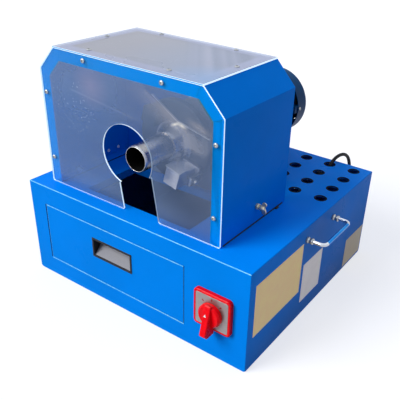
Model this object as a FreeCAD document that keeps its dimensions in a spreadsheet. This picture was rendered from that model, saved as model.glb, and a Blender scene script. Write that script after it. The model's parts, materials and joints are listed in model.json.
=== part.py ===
import FreeCAD, Part
import math
import os
import re

import Sketcher

# Hose skiving machine: a sheet-metal cabinet with a chip drawer, a geared head with a mandrel
# and a radially adjusted knife, a flange motor behind it, and a hinged hood with clear windows.
# Millimetres and degrees. X runs to the right, Y to the rear and Z up. The origin is the centre
# of the cabinet's underside.

os.makedirs("parts", exist_ok=True)
doc = FreeCAD.newDocument("HoseSkivingMachine")
sizes = doc.addObject("Spreadsheet::Sheet", "Sizes")

SIZES = {
    "Cabinet": {
        "CabinetWidth": 520, "CabinetDepth": 480, "CabinetHeight": 204, "SheetThickness": 2,
        "BendRadius": 1.6, "PanelReturn": 14, "CoolingSlots": 12, "CoolingSlotWidth": 5,
        "CoolingSlotHeight": 40, "BottomCorner": 4.8,
    },
    "Drawer": {
        "DrawerCentre": -45.6, "DrawerWidth": 344.5, "DrawerHeight": 123, "DrawerBottom": 40.6,
        "DrawerGap": 1.2, "TrayLength": 385, "TrayHeight": 96, "TrayInset": 6, "TrayWall": 1.5,
        "TrayLift": 6, "RunnerLedge": 14, "RunnerGap": 0.3, "RunnerLength": 452, "RunnerSideGap": 1.5,
        "PullCentre": -43.9, "PullBottom": 95, "PullWidth": 98, "PullHeight": 40, "PullDepth": 26,
        "PullWall": 3, "PullLip": 1, "PullTongue": 24,
    },
    "Switch": {
        "SwitchX": 192.5, "SwitchZ": 102, "BezelWidth": 76.5, "BezelHeight": 74, "BezelThickness": 8,
        "BezelCorner": 8, "BezelRim": 4.5, "BezelRecess": 0.6, "KnobDrop": 3, "KnobRadius": 22.5,
        "KnobThickness": 9.5, "KnobGap": 0.5, "GripWidth": 13, "GripUp": 24, "GripDown": 37,
        "GripOutTop": 2, "GripOutBottom": 16, "SwitchStem": 4, "StemClearance": 0.05,
        "StemReach": 14, "StemHoleGap": 3, "SwitchBodySide": 48, "SwitchBodyDepth": 62,
        "KnobBevel": 3, "GripHeel": 4, "GripNose": 2, "GripTail": 6, "GripTailDrop": 5, "GripRound": 2.2,
    },
    "Handles": {
        "HandleY": 0, "HandleDrop": 28, "HandleSpan": 105, "HandleReach": 36, "HandleRod": 3.5,
        "HandleBend": 10, "FerruleRadius": 6, "FerruleLength": 13, "FerruleWaist": 4.8,
        "FerruleShoulder": 4.55,
    },
    "Rack": {
        "RackInset": 88.9, "RackY": 135.4, "RackPitchX": 56.8, "RackPitchY": 52.2, "RackHoleRadius": 10,
    },
    "Chip opening": {
        "ChipX": -21.3, "ChipWidth": 248, "ChipRear": -64, "ChipLength": 130, "ChipLip": 14,
    },
    "Spindle": {
        "SpindleX": -21.3, "SpindleHeight": 95, "SpindleRadius": 17.45, "SpindleBore": 11,
        "BearingBore": 17.5, "BearingRadius": 31, "BearingWidth": 14,
        "FacePlateRadius": 82, "FacePlateThickness": 14, "HeadGap": 8,
        "CollarRadius": 30, "CollarStep": 33, "CollarLength": 28, "CollarStepLength": 6,
        "CollarBevel": 1.5,
        "MandrelRadius": 25, "MandrelWall": 2.6, "MandrelTip": -189.6, "MandrelSocket": 20,
        "SpigotStep": 1,
        "LipGroove": 3, "LipLength": 5, "LipGrooveDepth": 0.8, "LipBevel": 1.4,
        "SpindleEnd": 1, "MouthGap": 1.5, "HubRise": 9,
    },
    "Gears": {
        "GearModule": 2, "GearTeeth": 35, "PinionTeeth": 17, "GearFace": 18, "GearLineAngle": 23.5,
        "Backlash": 0.2, "PressureAngle": 20, "GearSideGap": 2,
    },
    "Gear case": {
        "CaseRear": -2, "CaseDepth": 52, "CoverThickness": 8, "CaseRadius": 60, "CaseMotorRadius": 71,
        "CaseWall": 10, "CavityGap": 4, "BossRadius": 38, "BossRise": 10, "FootWidth": 204,
        "FootThickness": 12, "FootShift": 16, "PedestalWidth": 132, "BearingLip": 4, "FootHole": 5.5,
        "FootHoleInset": 16, "FootHolePitch": 26, "CoverRise": 20, "ShaftHoleGap": 4,
        "WebRightAngle": -25.5, "WebLeftAngle": 191,
    },
    "Knife": {
        "GuideAngle": -15.4, "GuideOffset": 33, "GuideInner": 33, "GuideOuter": 79, "GuideWidth": 38,
        "GuideThickness": 8, "GuideBevel": 11, "GuideSlot": 16, "TongueGap": 0.2, "ArmSide": 31, "ArmLength": 47.6,
        "ArmCentre": 49, "KnifeThickness": 4, "KnifeLength": 35, "KnifeDepth": 26, "KnifeReach": 29.5,
        "KnifeBevel": 6, "LugThickness": 5, "LugWidth": 18, "LugHeight": 26, "ScrewRadius": 3,
        "ScrewHeadRadius": 5.5, "ScrewHead": 6, "ScrewSeat": 0.1, "ScrewSlot": 1.2, "ScrewReach": 25,
        "ScrewClearance": 0.06, "ScrewSlotDepth": 1.6, "GuideBevelRise": 15.4, "GuideFloor": 2,
        "TongueInset": 2,
        "ScrewPocket": 27, "BalanceLength": 20, "BalanceThickness": 22,
    },
    "Motor": {
        "MotorRadius": 70, "MotorFlange": 10, "ShaftRadius": 7, "ShaftClearance": 0.06,
        "StatorRadius": 54, "FinHeight": 8, "FinThickness": 2.6, "FinCount": 30,
        "StatorFront": 22, "StatorRear": 172, "ShieldDepth": 12, "CowlFront": 182.8, "CowlRear": 222.4,
        "CowlRadius": 70.2, "CowlWall": 1.5, "CowlSlots": 18, "CowlSlotWidth": 5, "CowlLug": 14,
        "FanRadius": 60, "FanHub": 18, "FanBlades": 8, "FanFront": 192, "FanDepth": 22,
        "FanBlade": 2.4, "BoxWidth": 78, "BoxLength": 76, "BoxHeight": 26, "BoxFront": 42,
        "BoxLid": 4, "BoxLidRim": 1, "BoxNeck": 8, "BoxNeckInset": 16, "GlandRadius": 9, "GlandBore": 5,
        "GlandLength": 16, "CowlFit": 0.4, "FlangeNeck": 6, "FlangeNeckRise": 3, "FlangeRim": 14,
        "FinRoot": 2, "FinTrim": 4, "CowlLugs": 4, "CowlBevel": 6, "CowlInnerBevel": 6.6,
        "CowlSlotStart": 25.3, "CowlSlotLength": 32.3, "FanRoot": 2,
    },
    "Hood": {
        "HoodCentre": -22.25, "HoodWidth": 403, "HoodFront": -211.2, "HoodRear": 0.5,
        "HoodHeight": 268, "HoodBevelWidth": 42.2, "HoodBevelHeight": 44.8, "HoodFlange": 22,
        "WindowThickness": 3,
        "KeyholeX": -21.3, "KeyholeHeight": 108.5, "KeyholeRadius": 56.2,
        "SlotLeftTop": -41.6, "SlotLeftFoot": -33.3, "SlotRightTop": 33.3, "SlotRightFoot": 47.3,
        "SlotLeftRise": 53, "SlotRightRise": 84, "RearOpeningX": -115, "RearOpeningHeight": 196,
    },
    "Hood hinges": {
        "HingeX": -227.5, "HingeRise": 4, "HingeFrontY": -163, "HingeRearY": -47, "HingeLength": 40,
        "HingePin": 1.5, "PinClearance": 0.05, "KnuckleRadius": 3.5, "KnuckleGap": 0.3,
        "LeafThickness": 2, "LeafHeight": 28, "DeckLeafWidth": 22, "LeafRelief": 5, "LeafOverlap": 1,
        "PinTrim": 1,
    },
    "Hood latch": {
        "LatchY": -102, "LatchRise": 34, "LatchWidth": 40, "LatchHeight": 46, "LatchThickness": 3,
        "LatchGap": 4.2, "LatchFoot": 18, "LatchSlot": 3.3, "WingShank": 3, "WingShankLength": 18,
        "WingNut": 5.5, "WingNutLength": 4, "WingHub": 6, "WingHubLength": 8, "WingSpan": 28,
        "WingHeight": 12, "WingThickness": 2.2, "WingHubTaper": 1.5, "WingFoot": 1, "WingRoot": 4,
        "WingSide": 3, "WingSideRise": 6, "WingTip": 5, "WingTipRise": 2,
    },
    "Mains lead": {
        "CableRadius": 3.75, "CoilX": 70, "CoilY": 316, "CoilRadius": 42, "CoilWidth": 22.5,
        "CoilHeight": 15.2, "CoilBevel": 2.3, "FloorGap": 0.2, "PlugRadius": 17, "PlugLength": 36,
        "PlugTaper": 18, "PinRadius": 2.4, "PinLength": 19, "PinPitch": 19, "ClampSide": 18,
        "ClampStrap": 3, "ClampFoot": 15, "ClampBack": 9, "ClampDrop": 16, "PlugNeck": 5.6,
    },
    "Construction": {"Overshoot": 1},
}

row = 1
for group, entries in SIZES.items():
    sizes.set(f"A{row}", group)
    for name, number in entries.items():
        row += 1
        sizes.set(f"A{row}", name)
        sizes.set(f"B{row}", str(number))
        sizes.setAlias(f"B{row}", name)
    row += 1
doc.recompute()

NAME = re.compile(r"(?<![A-Za-z.])([A-Z][A-Za-z]+)")
nodes = {}


def bound(expression):
    """The expression with every size name looked up in the sheet."""
    return NAME.sub(r"Sizes.\1", str(expression))


def value(expression):
    return float(sizes.evalExpression(str(expression)))


# Derived places, each written once in terms of the sheet.
DECK = "CabinetHeight"
RACK_X = "(CabinetWidth / 2 - RackInset)"
FRONT = "(-CabinetDepth / 2)"
REAR = "(CabinetDepth / 2)"
SPINDLE_Z = "(CabinetHeight + SpindleHeight)"
GEAR_CENTRES = "(GearModule * (GearTeeth + PinionTeeth) / 2)"
MOTOR_X = f"(SpindleX + {GEAR_CENTRES} * cos(GearLineAngle * 1deg))"
MOTOR_Z = f"({SPINDLE_Z} + {GEAR_CENTRES} * sin(GearLineAngle * 1deg))"
CASE_FRONT = "(CaseRear - CaseDepth)"
COVER_FRONT = f"({CASE_FRONT} - CoverThickness)"
PLATE_REAR = f"({COVER_FRONT} - HeadGap)"
PLATE_FRONT = f"({PLATE_REAR} - FacePlateThickness)"
COLLAR_FRONT = f"({PLATE_FRONT} - CollarLength)"
GEAR_REAR = "(CaseRear - CaseWall - BossRise - GearSideGap)"
HOOD_LEFT = "(HoodCentre - HoodWidth / 2)"
HOOD_RIGHT = "(HoodCentre + HoodWidth / 2)"
HOOD_TOP = "(CabinetHeight + HoodHeight)"
TRAY_BOTTOM = "(DrawerBottom + TrayLift)"
TRAY_LEFT = "(DrawerCentre - DrawerWidth / 2 + TrayInset)"
TRAY_WIDTH = "(DrawerWidth - 2 * TrayInset)"
KNOB_Z = "(SwitchZ - KnobDrop)"
HANDLE_Z = "(CabinetHeight - HandleDrop)"
HINGE_Z = "(CabinetHeight + HingeRise)"
LATCH_Z = "(CabinetHeight + LatchRise)"
FIN_TIP = "(StatorRadius + FinHeight)"

TO_FRONT = FreeCAD.Rotation(FreeCAD.Vector(1, 0, 0), 90)
TO_RIGHT = FreeCAD.Rotation(FreeCAD.Vector(0, 1, 0), 90)
TO_LEFT = FreeCAD.Rotation(FreeCAD.Vector(0, 1, 0), -90)


def place(item, x, y, z, rotation=None):
    if rotation is not None:
        item.Placement.Rotation = rotation
    for axis, expression in zip("xyz", (x, y, z)):
        item.setExpression(f"Placement.Base.{axis}", bound(expression))
    return item


def keep(label, item):
    item.Label = label
    nodes[label] = item
    return item


# Solids made from primitives


def box(label, corner, span):
    item = doc.addObject("Part::Box", label)
    for name, expression in zip(("Length", "Width", "Height"), span):
        item.setExpression(name, bound(expression))
    return place(item, *corner)


def cylinder(label, radius, height, base, rotation=None):
    item = doc.addObject("Part::Cylinder", label)
    item.setExpression("Radius", bound(radius))
    item.setExpression("Height", bound(height))
    return place(item, *base, rotation)


def fuse(label, parts):
    item = doc.addObject("Part::MultiFuse", label)
    item.Shapes = parts
    item.Refine = True
    return item


def cut(label, base, tools):
    item = doc.addObject("Part::Cut", label)
    item.Base = base
    item.Tool = tools[0] if len(tools) == 1 else fuse(label + "_tools", tools)
    return item


# Solids made as bodies with sketches

ROLE = {"XY": "XY_Plane", "XZ": "XZ_Plane", "YZ": "YZ_Plane"}


def new_body(label):
    return doc.addObject("PartDesign::Body", label)


def round_body(label, x, y, z, rotation=TO_FRONT):
    """A body whose own Z axis becomes the turning axis, pointing to the front."""
    return place(new_body(label), x, y, z, rotation)


def sketch(body, plane, offset="0"):
    item = body.newObject("Sketcher::SketchObject", body.Name + "_sketch")
    origin = [feature for feature in body.Origin.OriginFeatures if feature.Role == ROLE[plane]][0]
    item.AttachmentSupport = [(origin, "")]
    item.MapMode = "FlatFace"
    item.setExpression("AttachmentOffset.Base.z", bound(offset))
    return item


def hold_point(item, index, end, point):
    """Ties one point of the sketch to the origin by two bound dimensions."""
    for kind, expression in zip(("DistanceX", "DistanceY"), point):
        number = item.addConstraint(Sketcher.Constraint(kind, -1, 1, index, end, value(expression)))
        item.setExpression(f"Constraints[{number}]", bound(expression))


def outline(item, points):
    """A closed outline of straight edges through points given as expressions."""
    first = item.GeometryCount
    count = len(points)
    corners = [FreeCAD.Vector(value(x), value(y), 0) for x, y in points]
    for index in range(count):
        item.addGeometry(Part.LineSegment(corners[index], corners[(index + 1) % count]), False)
    for index in range(count):
        after = first + (index + 1) % count
        item.addConstraint(Sketcher.Constraint("Coincident", first + index, 2, after, 1))
    for index, point in enumerate(points):
        hold_point(item, first + index, 1, point)


def rectangle(item, left, low, width, height):
    right = f"({left}) + ({width})"
    top = f"({low}) + ({height})"
    outline(item, [(left, low), (right, low), (right, top), (left, top)])


def circle(item, x, y, radius):
    centre = FreeCAD.Vector(value(x), value(y), 0)
    index = item.addGeometry(Part.Circle(centre, FreeCAD.Vector(0, 0, 1), value(radius)), False)
    number = item.addConstraint(Sketcher.Constraint("Radius", index, value(radius)))
    item.setExpression(f"Constraints[{number}]", bound(radius))
    hold_point(item, index, 3, (x, y))


def pad(body, profile, length, reverse=False):
    item = body.newObject("PartDesign::Pad", body.Name + "_pad")
    item.Profile = profile
    item.setExpression("Length", bound(length))
    item.Reversed = reverse
    doc.recompute()
    return item


def pocket(body, profile, length, reverse=False):
    before = body.Shape.Volume
    item = body.newObject("PartDesign::Pocket", body.Name + "_pocket")
    item.Profile = profile
    item.setExpression("Length", bound(length))
    item.Reversed = reverse
    doc.recompute()
    if body.Shape.Volume > before - 0.01:
        raise RuntimeError(f"{item.Name} cuts nothing")
    return item


def revolve(body, profile):
    item = body.newObject("PartDesign::Revolution", body.Name + "_revolution")
    item.Profile = profile
    item.ReferenceAxis = (profile, ["V_Axis"])
    item.Angle = 360
    doc.recompute()
    return item


def polar(body, features, count):
    """Copies of a feature all round the body's own Z axis."""
    item = body.newObject("PartDesign::PolarPattern", body.Name + "_pattern")
    item.Originals = features
    axis = [feature for feature in body.Origin.OriginFeatures if feature.Role == "Z_Axis"][0]
    item.Axis = (axis, [""])
    item.Angle = 360
    item.setExpression("Occurrences", bound(count))
    body.Tip = item
    doc.recompute()
    return item


def dressed(body, kind, dimension, size, chosen):
    """Puts a fillet or chamfer on the edges of the body's tip that the test picks."""
    base = body.Tip
    names = [f"Edge{number}" for number, edge in enumerate(base.Shape.Edges, 1) if chosen(edge)]
    item = body.newObject(f"PartDesign::{kind}", f"{body.Name}_{kind.lower()}")
    item.Base = (base, names)
    item.setExpression(dimension, bound(size))
    doc.recompute()
    return item


def rounded(body, radius, chosen):
    return dressed(body, "Fillet", "Radius", radius, chosen)


def bevelled(body, size, chosen):
    return dressed(body, "Chamfer", "Size", size, chosen)


def runs_along(axis):
    def test(edge):
        ends = edge.Vertexes
        if len(ends) != 2 or edge.Curve.TypeId != "Part::GeomLine":
            return False
        direction = (ends[1].Point - ends[0].Point).normalize()
        return abs(abs(getattr(direction, axis)) - 1) < 1e-6
    return test


# Cabinet panels


def make_deck():
    """Deck with the chip opening, the rack holes and a turned-down lip round the opening."""
    body = new_body("deck_plate")
    profile = sketch(body, "XY", f"{DECK} - SheetThickness")
    rectangle(profile, "-CabinetWidth / 2", FRONT, "CabinetWidth", "CabinetDepth")
    rectangle(profile, "ChipX - ChipWidth / 2", "ChipRear - ChipLength", "ChipWidth", "ChipLength")
    pad(body, profile, "SheetThickness")
    top = value(DECK)
    half_width = value("CabinetWidth / 2")
    half_depth = value("CabinetDepth / 2")

    def outer_top(edge):
        box = edge.BoundBox
        if abs(box.ZMin - top) > 1e-6 or box.ZLength > 1e-6:
            return False
        at_side = box.XLength < 1e-6 and abs(abs(box.XMin) - half_width) < 1e-6
        at_end = box.YLength < 1e-6 and abs(abs(box.YMin) - half_depth) < 1e-6
        return at_side or at_end

    rounded(body, "BendRadius", outer_top)
    lip = sketch(body, "XY", f"{DECK} - SheetThickness")
    rectangle(lip, "ChipX - ChipWidth / 2 - SheetThickness", "ChipRear - ChipLength - SheetThickness",
              "ChipWidth + 2 * SheetThickness", "ChipLength + 2 * SheetThickness")
    rectangle(lip, "ChipX - ChipWidth / 2", "ChipRear - ChipLength", "ChipWidth", "ChipLength")
    pad(body, lip, "ChipLip", reverse=True)
    holes = sketch(body, "XY", DECK)
    circle(holes, f"{RACK_X} - RackPitchX", "RackY - 1.5 * RackPitchY", "RackHoleRadius")
    first_hole = pocket(body, holes, "SheetThickness")
    rows = body.newObject("PartDesign::MultiTransform", "rack_holes")
    rows.Originals = [first_hole]
    columns = body.newObject("PartDesign::LinearPattern", "rack_columns")
    columns.Direction = (holes, ["H_Axis"])
    columns.setExpression("Length", bound("2 * RackPitchX"))
    columns.Occurrences = 3
    files = body.newObject("PartDesign::LinearPattern", "rack_files")
    files.Direction = (holes, ["V_Axis"])
    files.setExpression("Length", bound("3 * RackPitchY"))
    files.Occurrences = 4
    rows.Transformations = [columns, files]
    body.Tip = rows
    keep("deck_plate", body)


def make_front_panel():
    """Front sheet with the drawer opening, its folded returns and the switch hole."""
    body = new_body("front_panel")
    profile = sketch(body, "XZ", "CabinetDepth / 2 - SheetThickness")
    rectangle(profile, "-CabinetWidth / 2", "SheetThickness", "CabinetWidth", "CabinetHeight - 2 * SheetThickness")
    opening = ("DrawerCentre - DrawerWidth / 2 - DrawerGap", "DrawerBottom - DrawerGap",
               "DrawerWidth + 2 * DrawerGap", "DrawerHeight + 2 * DrawerGap")
    rectangle(profile, *opening)
    circle(profile, "SwitchX", KNOB_Z, "SwitchStem + StemHoleGap")
    pad(body, profile, "SheetThickness")
    returns = sketch(body, "XZ", "CabinetDepth / 2 - SheetThickness")
    rectangle(returns, "DrawerCentre - DrawerWidth / 2 - DrawerGap - SheetThickness",
              "DrawerBottom - DrawerGap - SheetThickness",
              "DrawerWidth + 2 * DrawerGap + 2 * SheetThickness",
              "DrawerHeight + 2 * DrawerGap + 2 * SheetThickness")
    rectangle(returns, *opening)
    pad(body, returns, "PanelReturn - SheetThickness", reverse=True)
    keep("front_panel", body)


def make_side_panel(label, side):
    """Side sheet with the two bolt holes of its carry handle."""
    body = new_body(label)
    inner = "CabinetWidth / 2 - SheetThickness" if side > 0 else "-CabinetWidth / 2"
    profile = sketch(body, "YZ", inner)
    rectangle(profile, f"{FRONT} + SheetThickness", "SheetThickness",
              "CabinetDepth - 2 * SheetThickness", "CabinetHeight - 2 * SheetThickness")
    for end in ("-", "+"):
        circle(profile, f"HandleY {end} HandleSpan / 2", HANDLE_Z, "HandleRod")
    pad(body, profile, "SheetThickness")
    keep(label, body)


def make_rear_panel():
    """Rear sheet with a row of cooling slots."""
    body = new_body("rear_panel")
    profile = sketch(body, "XZ", "-CabinetDepth / 2")
    rectangle(profile, "-CabinetWidth / 2", "SheetThickness", "CabinetWidth", "CabinetHeight - 2 * SheetThickness")
    pad(body, profile, "SheetThickness")
    slot = sketch(body, "XZ", "-CabinetDepth / 2")
    rectangle(slot, "-CabinetWidth / 4", "(CabinetHeight - CoolingSlotHeight) / 2", "CoolingSlotWidth",
              "CoolingSlotHeight")
    first_slot = pocket(body, slot, "SheetThickness", reverse=True)
    slots = body.newObject("PartDesign::LinearPattern", "rear_slots")
    slots.Originals = [first_slot]
    slots.Direction = (slot, ["H_Axis"])
    slots.setExpression("Length", bound("CabinetWidth / 2 - CoolingSlotWidth"))
    slots.setExpression("Occurrences", bound("CoolingSlots"))
    body.Tip = slots
    keep("rear_panel", body)


def make_bottom_plate():
    body = new_body("bottom_plate")
    profile = sketch(body, "XY")
    rectangle(profile, "-CabinetWidth / 2", FRONT, "CabinetWidth", "CabinetDepth")
    pad(body, profile, "SheetThickness")
    rounded(body, "BottomCorner", runs_along("z"))
    keep("bottom_plate", body)


# Drawer and its runners


def make_runner(label, side):
    """Folded runner: a foot on the bottom plate, a ledge under the tray and a lip over its wall."""
    body = new_body(label)
    web = "SheetThickness"
    if side > 0:
        inner = f"{TRAY_LEFT} + {TRAY_WIDTH} + RunnerSideGap"
        sign = "+"
        back = "-"
    else:
        inner = f"{TRAY_LEFT} - RunnerSideGap"
        sign = "-"
        back = "+"
    ledge = f"{TRAY_BOTTOM} - RunnerGap"
    lip = f"{TRAY_BOTTOM} + TrayHeight + RunnerGap"
    points = [
        (f"{inner} {sign} RunnerLedge", "SheetThickness"),
        (inner, "SheetThickness"),
        (inner, f"{ledge} - {web}"),
        (f"{inner} {back} RunnerLedge", f"{ledge} - {web}"),
        (f"{inner} {back} RunnerLedge", ledge),
        (inner, ledge),
        (inner, lip),
        (f"{inner} {back} RunnerLedge / 2", lip),
        (f"{inner} {back} RunnerLedge / 2", f"{lip} + {web}"),
        (f"{inner} {sign} {web}", f"{lip} + {web}"),
        (f"{inner} {sign} {web}", f"SheetThickness + {web}"),
        (f"{inner} {sign} RunnerLedge", f"SheetThickness + {web}"),
    ]
    profile = sketch(body, "XZ", "CabinetDepth / 2 - PanelReturn")
    outline(profile, points)
    pad(body, profile, "RunnerLength", reverse=True)
    keep(label, body)


def make_drawer():
    """Drawer front with the pull's cut-out, the open tray behind it and the two-piece recess pull."""
    front = new_body("drawer_front")
    profile = sketch(front, "XZ", "CabinetDepth / 2 - SheetThickness")
    rectangle(profile, "DrawerCentre - DrawerWidth / 2", "DrawerBottom", "DrawerWidth", "DrawerHeight")
    rectangle(profile, "PullCentre - PullWidth / 2", "PullBottom", "PullWidth", "PullHeight")
    pad(front, profile, "SheetThickness")
    keep("drawer_front", front)

    tray = new_body("drawer_tray")
    start = "CabinetDepth / 2 - SheetThickness"
    floor = sketch(tray, "XY", TRAY_BOTTOM)
    rectangle(floor, TRAY_LEFT, f"-({start})", TRAY_WIDTH, "TrayLength")
    pad(tray, floor, "TrayHeight")
    hollow = sketch(tray, "XY", f"{TRAY_BOTTOM} + TrayHeight")
    rectangle(hollow, f"{TRAY_LEFT} + TrayWall", f"-({start}) + TrayWall",
              f"{TRAY_WIDTH} - 2 * TrayWall", "TrayLength - 2 * TrayWall")
    pocket(tray, hollow, "TrayHeight - TrayWall")
    window = sketch(tray, "XZ", start)
    rectangle(window, "PullCentre - PullWidth / 2", "PullBottom", "PullWidth", "PullHeight")
    pocket(tray, window, "TrayWall")
    keep("drawer_tray", tray)

    shell = box("pull_shell", ("PullCentre - PullWidth / 2", f"{FRONT}", "PullBottom"),
                ("PullWidth", "PullDepth", "PullHeight"))
    lip = box("pull_lip", ("PullCentre - PullWidth / 2 - PullLip", f"{FRONT} - PullLip", "PullBottom - PullLip"),
              ("PullWidth + 2 * PullLip", "PullLip", "PullHeight + 2 * PullLip"))
    space = box("pull_space", ("PullCentre - PullWidth / 2 + PullWall", f"{FRONT} - 2 * PullLip", "PullBottom + PullWall"),
                ("PullWidth - 2 * PullWall", "2 * PullLip + PullDepth - PullWall", "PullHeight - 2 * PullWall"))
    keep("pull_frame", cut("pull_frame", fuse("pull_outside", [shell, lip]), [space]))

    pan = new_body("pull_pan")
    back = "-CabinetDepth / 2 + PullDepth - PullWall"
    low = "PullBottom + PullWall"
    top = "PullBottom + PullHeight - PullWall"
    section = sketch(pan, "YZ", "PullCentre - PullWidth / 2 + PullWall")
    outline(section, [
        ("-CabinetDepth / 2 + PullLip", low),
        (back, low),
        (back, top),
        (f"{back} - TrayWall", top),
        (f"{back} - TrayWall", "PullBottom + PullTongue"),
    ])
    pad(pan, section, "PullWidth - 2 * PullWall")
    keep("pull_pan", pan)


# Rotary switch


def make_switch():
    """Square bezel with a recessed face, the contact block behind the panel and the lever knob."""
    bezel = new_body("switch_bezel")
    plate = sketch(bezel, "XZ", "CabinetDepth / 2")
    rectangle(plate, "SwitchX - BezelWidth / 2", "SwitchZ - BezelHeight / 2", "BezelWidth", "BezelHeight")
    pad(bezel, plate, "BezelThickness")
    rounded(bezel, "BezelCorner", runs_along("y"))
    front = value(f"{FRONT} - BezelThickness")
    bevelled(bezel, "BendRadius", lambda edge: edge.BoundBox.YMax < front + 1e-6)
    recess = sketch(bezel, "XZ", "CabinetDepth / 2 + BezelThickness")
    rectangle(recess, "SwitchX - BezelWidth / 2 + BezelRim", "SwitchZ - BezelHeight / 2 + BezelRim",
              "BezelWidth - 2 * BezelRim", "BezelHeight - 2 * BezelRim")
    pocket(bezel, recess, "BezelRecess")
    bore = sketch(bezel, "XZ", "CabinetDepth / 2 + BezelThickness")
    circle(bore, "SwitchX", KNOB_Z, "SwitchStem + StemClearance")
    pocket(bezel, bore, "BezelThickness")
    keep("switch_bezel", bezel)

    block = box("switch_block", ("SwitchX - SwitchBodySide / 2", f"{FRONT} + SheetThickness", f"{KNOB_Z} - SwitchBodySide / 2"),
                ("SwitchBodySide", "SwitchBodyDepth", "SwitchBodySide"))
    socket = cylinder("switch_socket", "SwitchStem + StemClearance", "StemReach + 2 * SheetThickness",
                      ("SwitchX", f"{FRONT} + StemReach + 1.5 * SheetThickness", KNOB_Z), TO_FRONT)
    keep("switch_body", cut("switch_body", block, [socket]))

    knob = round_body("switch_knob", "SwitchX", f"{FRONT} - BezelThickness - KnobGap", KNOB_Z)
    disc = sketch(knob, "XZ")
    outline(disc, [
        ("0", "0"),
        ("KnobRadius", "0"),
        ("KnobRadius", "KnobThickness - KnobBevel"),
        ("KnobRadius - KnobBevel", "KnobThickness"),
        ("0", "KnobThickness"),
    ])
    revolve(knob, disc)
    grip = sketch(knob, "YZ", "-GripWidth / 2")
    outline(grip, [
        ("-GripDown", "KnobGap"),
        ("GripUp - GripHeel", "KnobGap"),
        ("GripUp", "KnobThickness"),
        ("GripUp - GripNose", "KnobThickness + GripOutTop"),
        ("-GripDown + GripTail", "KnobThickness + GripOutBottom"),
        ("-GripDown", "KnobThickness + GripOutBottom - GripTailDrop"),
    ])
    pad(knob, grip, "GripWidth")
    foot = value("KnobGap")

    def ridge(edge):
        box = edge.BoundBox
        flat_side = box.XLength < 1e-6 and abs(abs(box.XMin) - value("GripWidth / 2")) < 1e-6
        return flat_side and box.ZMax > value("KnobThickness") + 1 and box.ZMin > foot + 1

    rounded(knob, "GripRound", ridge)
    keep("switch_knob", knob)

    stem = cylinder("switch_stem", "SwitchStem", "BezelThickness + KnobGap + SheetThickness + StemReach",
                    ("SwitchX", f"{FRONT} + SheetThickness + StemReach", KNOB_Z), TO_FRONT)
    keep("switch_stem", stem)


# Carry handles


def make_handle(side_name, side):
    """Bent rod handle: two legs in waisted ferrules, two quarter bends and the grip bar."""
    wall = "CabinetWidth / 2" if side > 0 else "-CabinetWidth / 2"
    sign = "+" if side > 0 else "-"
    turn = TO_RIGHT if side > 0 else TO_LEFT
    parts = []
    for end_name, end in (("front", "-"), ("rear", "+")):
        y = f"HandleY {end} HandleSpan / 2"
        leg = cylinder(f"{side_name}_leg_{end_name}", "HandleRod", "HandleReach - HandleBend + SheetThickness",
                       (f"{wall} {'-' if side > 0 else '+'} SheetThickness", y, HANDLE_Z), turn)
        parts.append(leg)
        bend = doc.addObject("Part::Torus", f"{side_name}_bend_{end_name}")
        bend.setExpression("Radius1", bound("HandleBend"))
        bend.setExpression("Radius2", bound("HandleRod"))
        bend.Angle3 = 90
        start = {(1, "-"): -90, (1, "+"): 0, (-1, "-"): 180, (-1, "+"): 90}[(side, end)]
        inside = "+" if end == "-" else "-"
        place(bend, f"{wall} {sign} (HandleReach - HandleBend)", f"{y} {inside} HandleBend", HANDLE_Z,
              FreeCAD.Rotation(FreeCAD.Vector(0, 0, 1), start))
        parts.append(bend)
        ferrule = round_body(f"{side_name}_ferrule_{end_name}", wall, y, HANDLE_Z, turn)
        section = sketch(ferrule, "XZ")
        outline(section, [
            ("0", "0"),
            ("FerruleRadius", "0"),
            ("FerruleRadius", "FerruleShoulder"),
            ("FerruleWaist", "FerruleLength / 2"),
            ("FerruleRadius", "FerruleLength - FerruleShoulder"),
            ("FerruleRadius", "FerruleLength"),
            ("0", "FerruleLength"),
        ])
        revolve(ferrule, section)
        parts.append(ferrule)
    bar = cylinder(f"{side_name}_bar", "HandleRod", "HandleSpan - 2 * HandleBend",
                   (f"{wall} {sign} HandleReach", "HandleY + HandleSpan / 2 - HandleBend", HANDLE_Z), TO_FRONT)
    parts.append(bar)
    keep(f"{side_name}_handle", fuse(f"{side_name}_handle", parts))


# Gear case, bearings and gears


def case_outline(label, y, depth):
    """The case's outside: a round over each shaft joined by a web, on a tapering pedestal."""
    spindle_round = cylinder(f"{label}_spindle_round", "CaseRadius", depth, ("SpindleX", y, SPINDLE_Z), TO_FRONT)
    motor_round = cylinder(f"{label}_motor_round", "CaseMotorRadius", depth, (MOTOR_X, y, MOTOR_Z), TO_FRONT)
    web = new_body(f"{label}_web")
    profile = sketch(web, "XZ", f"-({y})")
    outline(profile, [
        ("SpindleX + FootShift - PedestalWidth / 2", DECK),
        ("SpindleX + FootShift + PedestalWidth / 2", DECK),
        (f"{MOTOR_X} + CaseMotorRadius * cos(WebRightAngle * 1deg)",
         f"{MOTOR_Z} + CaseMotorRadius * sin(WebRightAngle * 1deg)"),
        (MOTOR_X, MOTOR_Z),
        ("SpindleX", SPINDLE_Z),
        ("SpindleX + CaseRadius * cos(WebLeftAngle * 1deg)",
         f"{SPINDLE_Z} + CaseRadius * sin(WebLeftAngle * 1deg)"),
    ])
    pad(web, profile, depth)
    return [spindle_round, motor_round, web]


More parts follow.
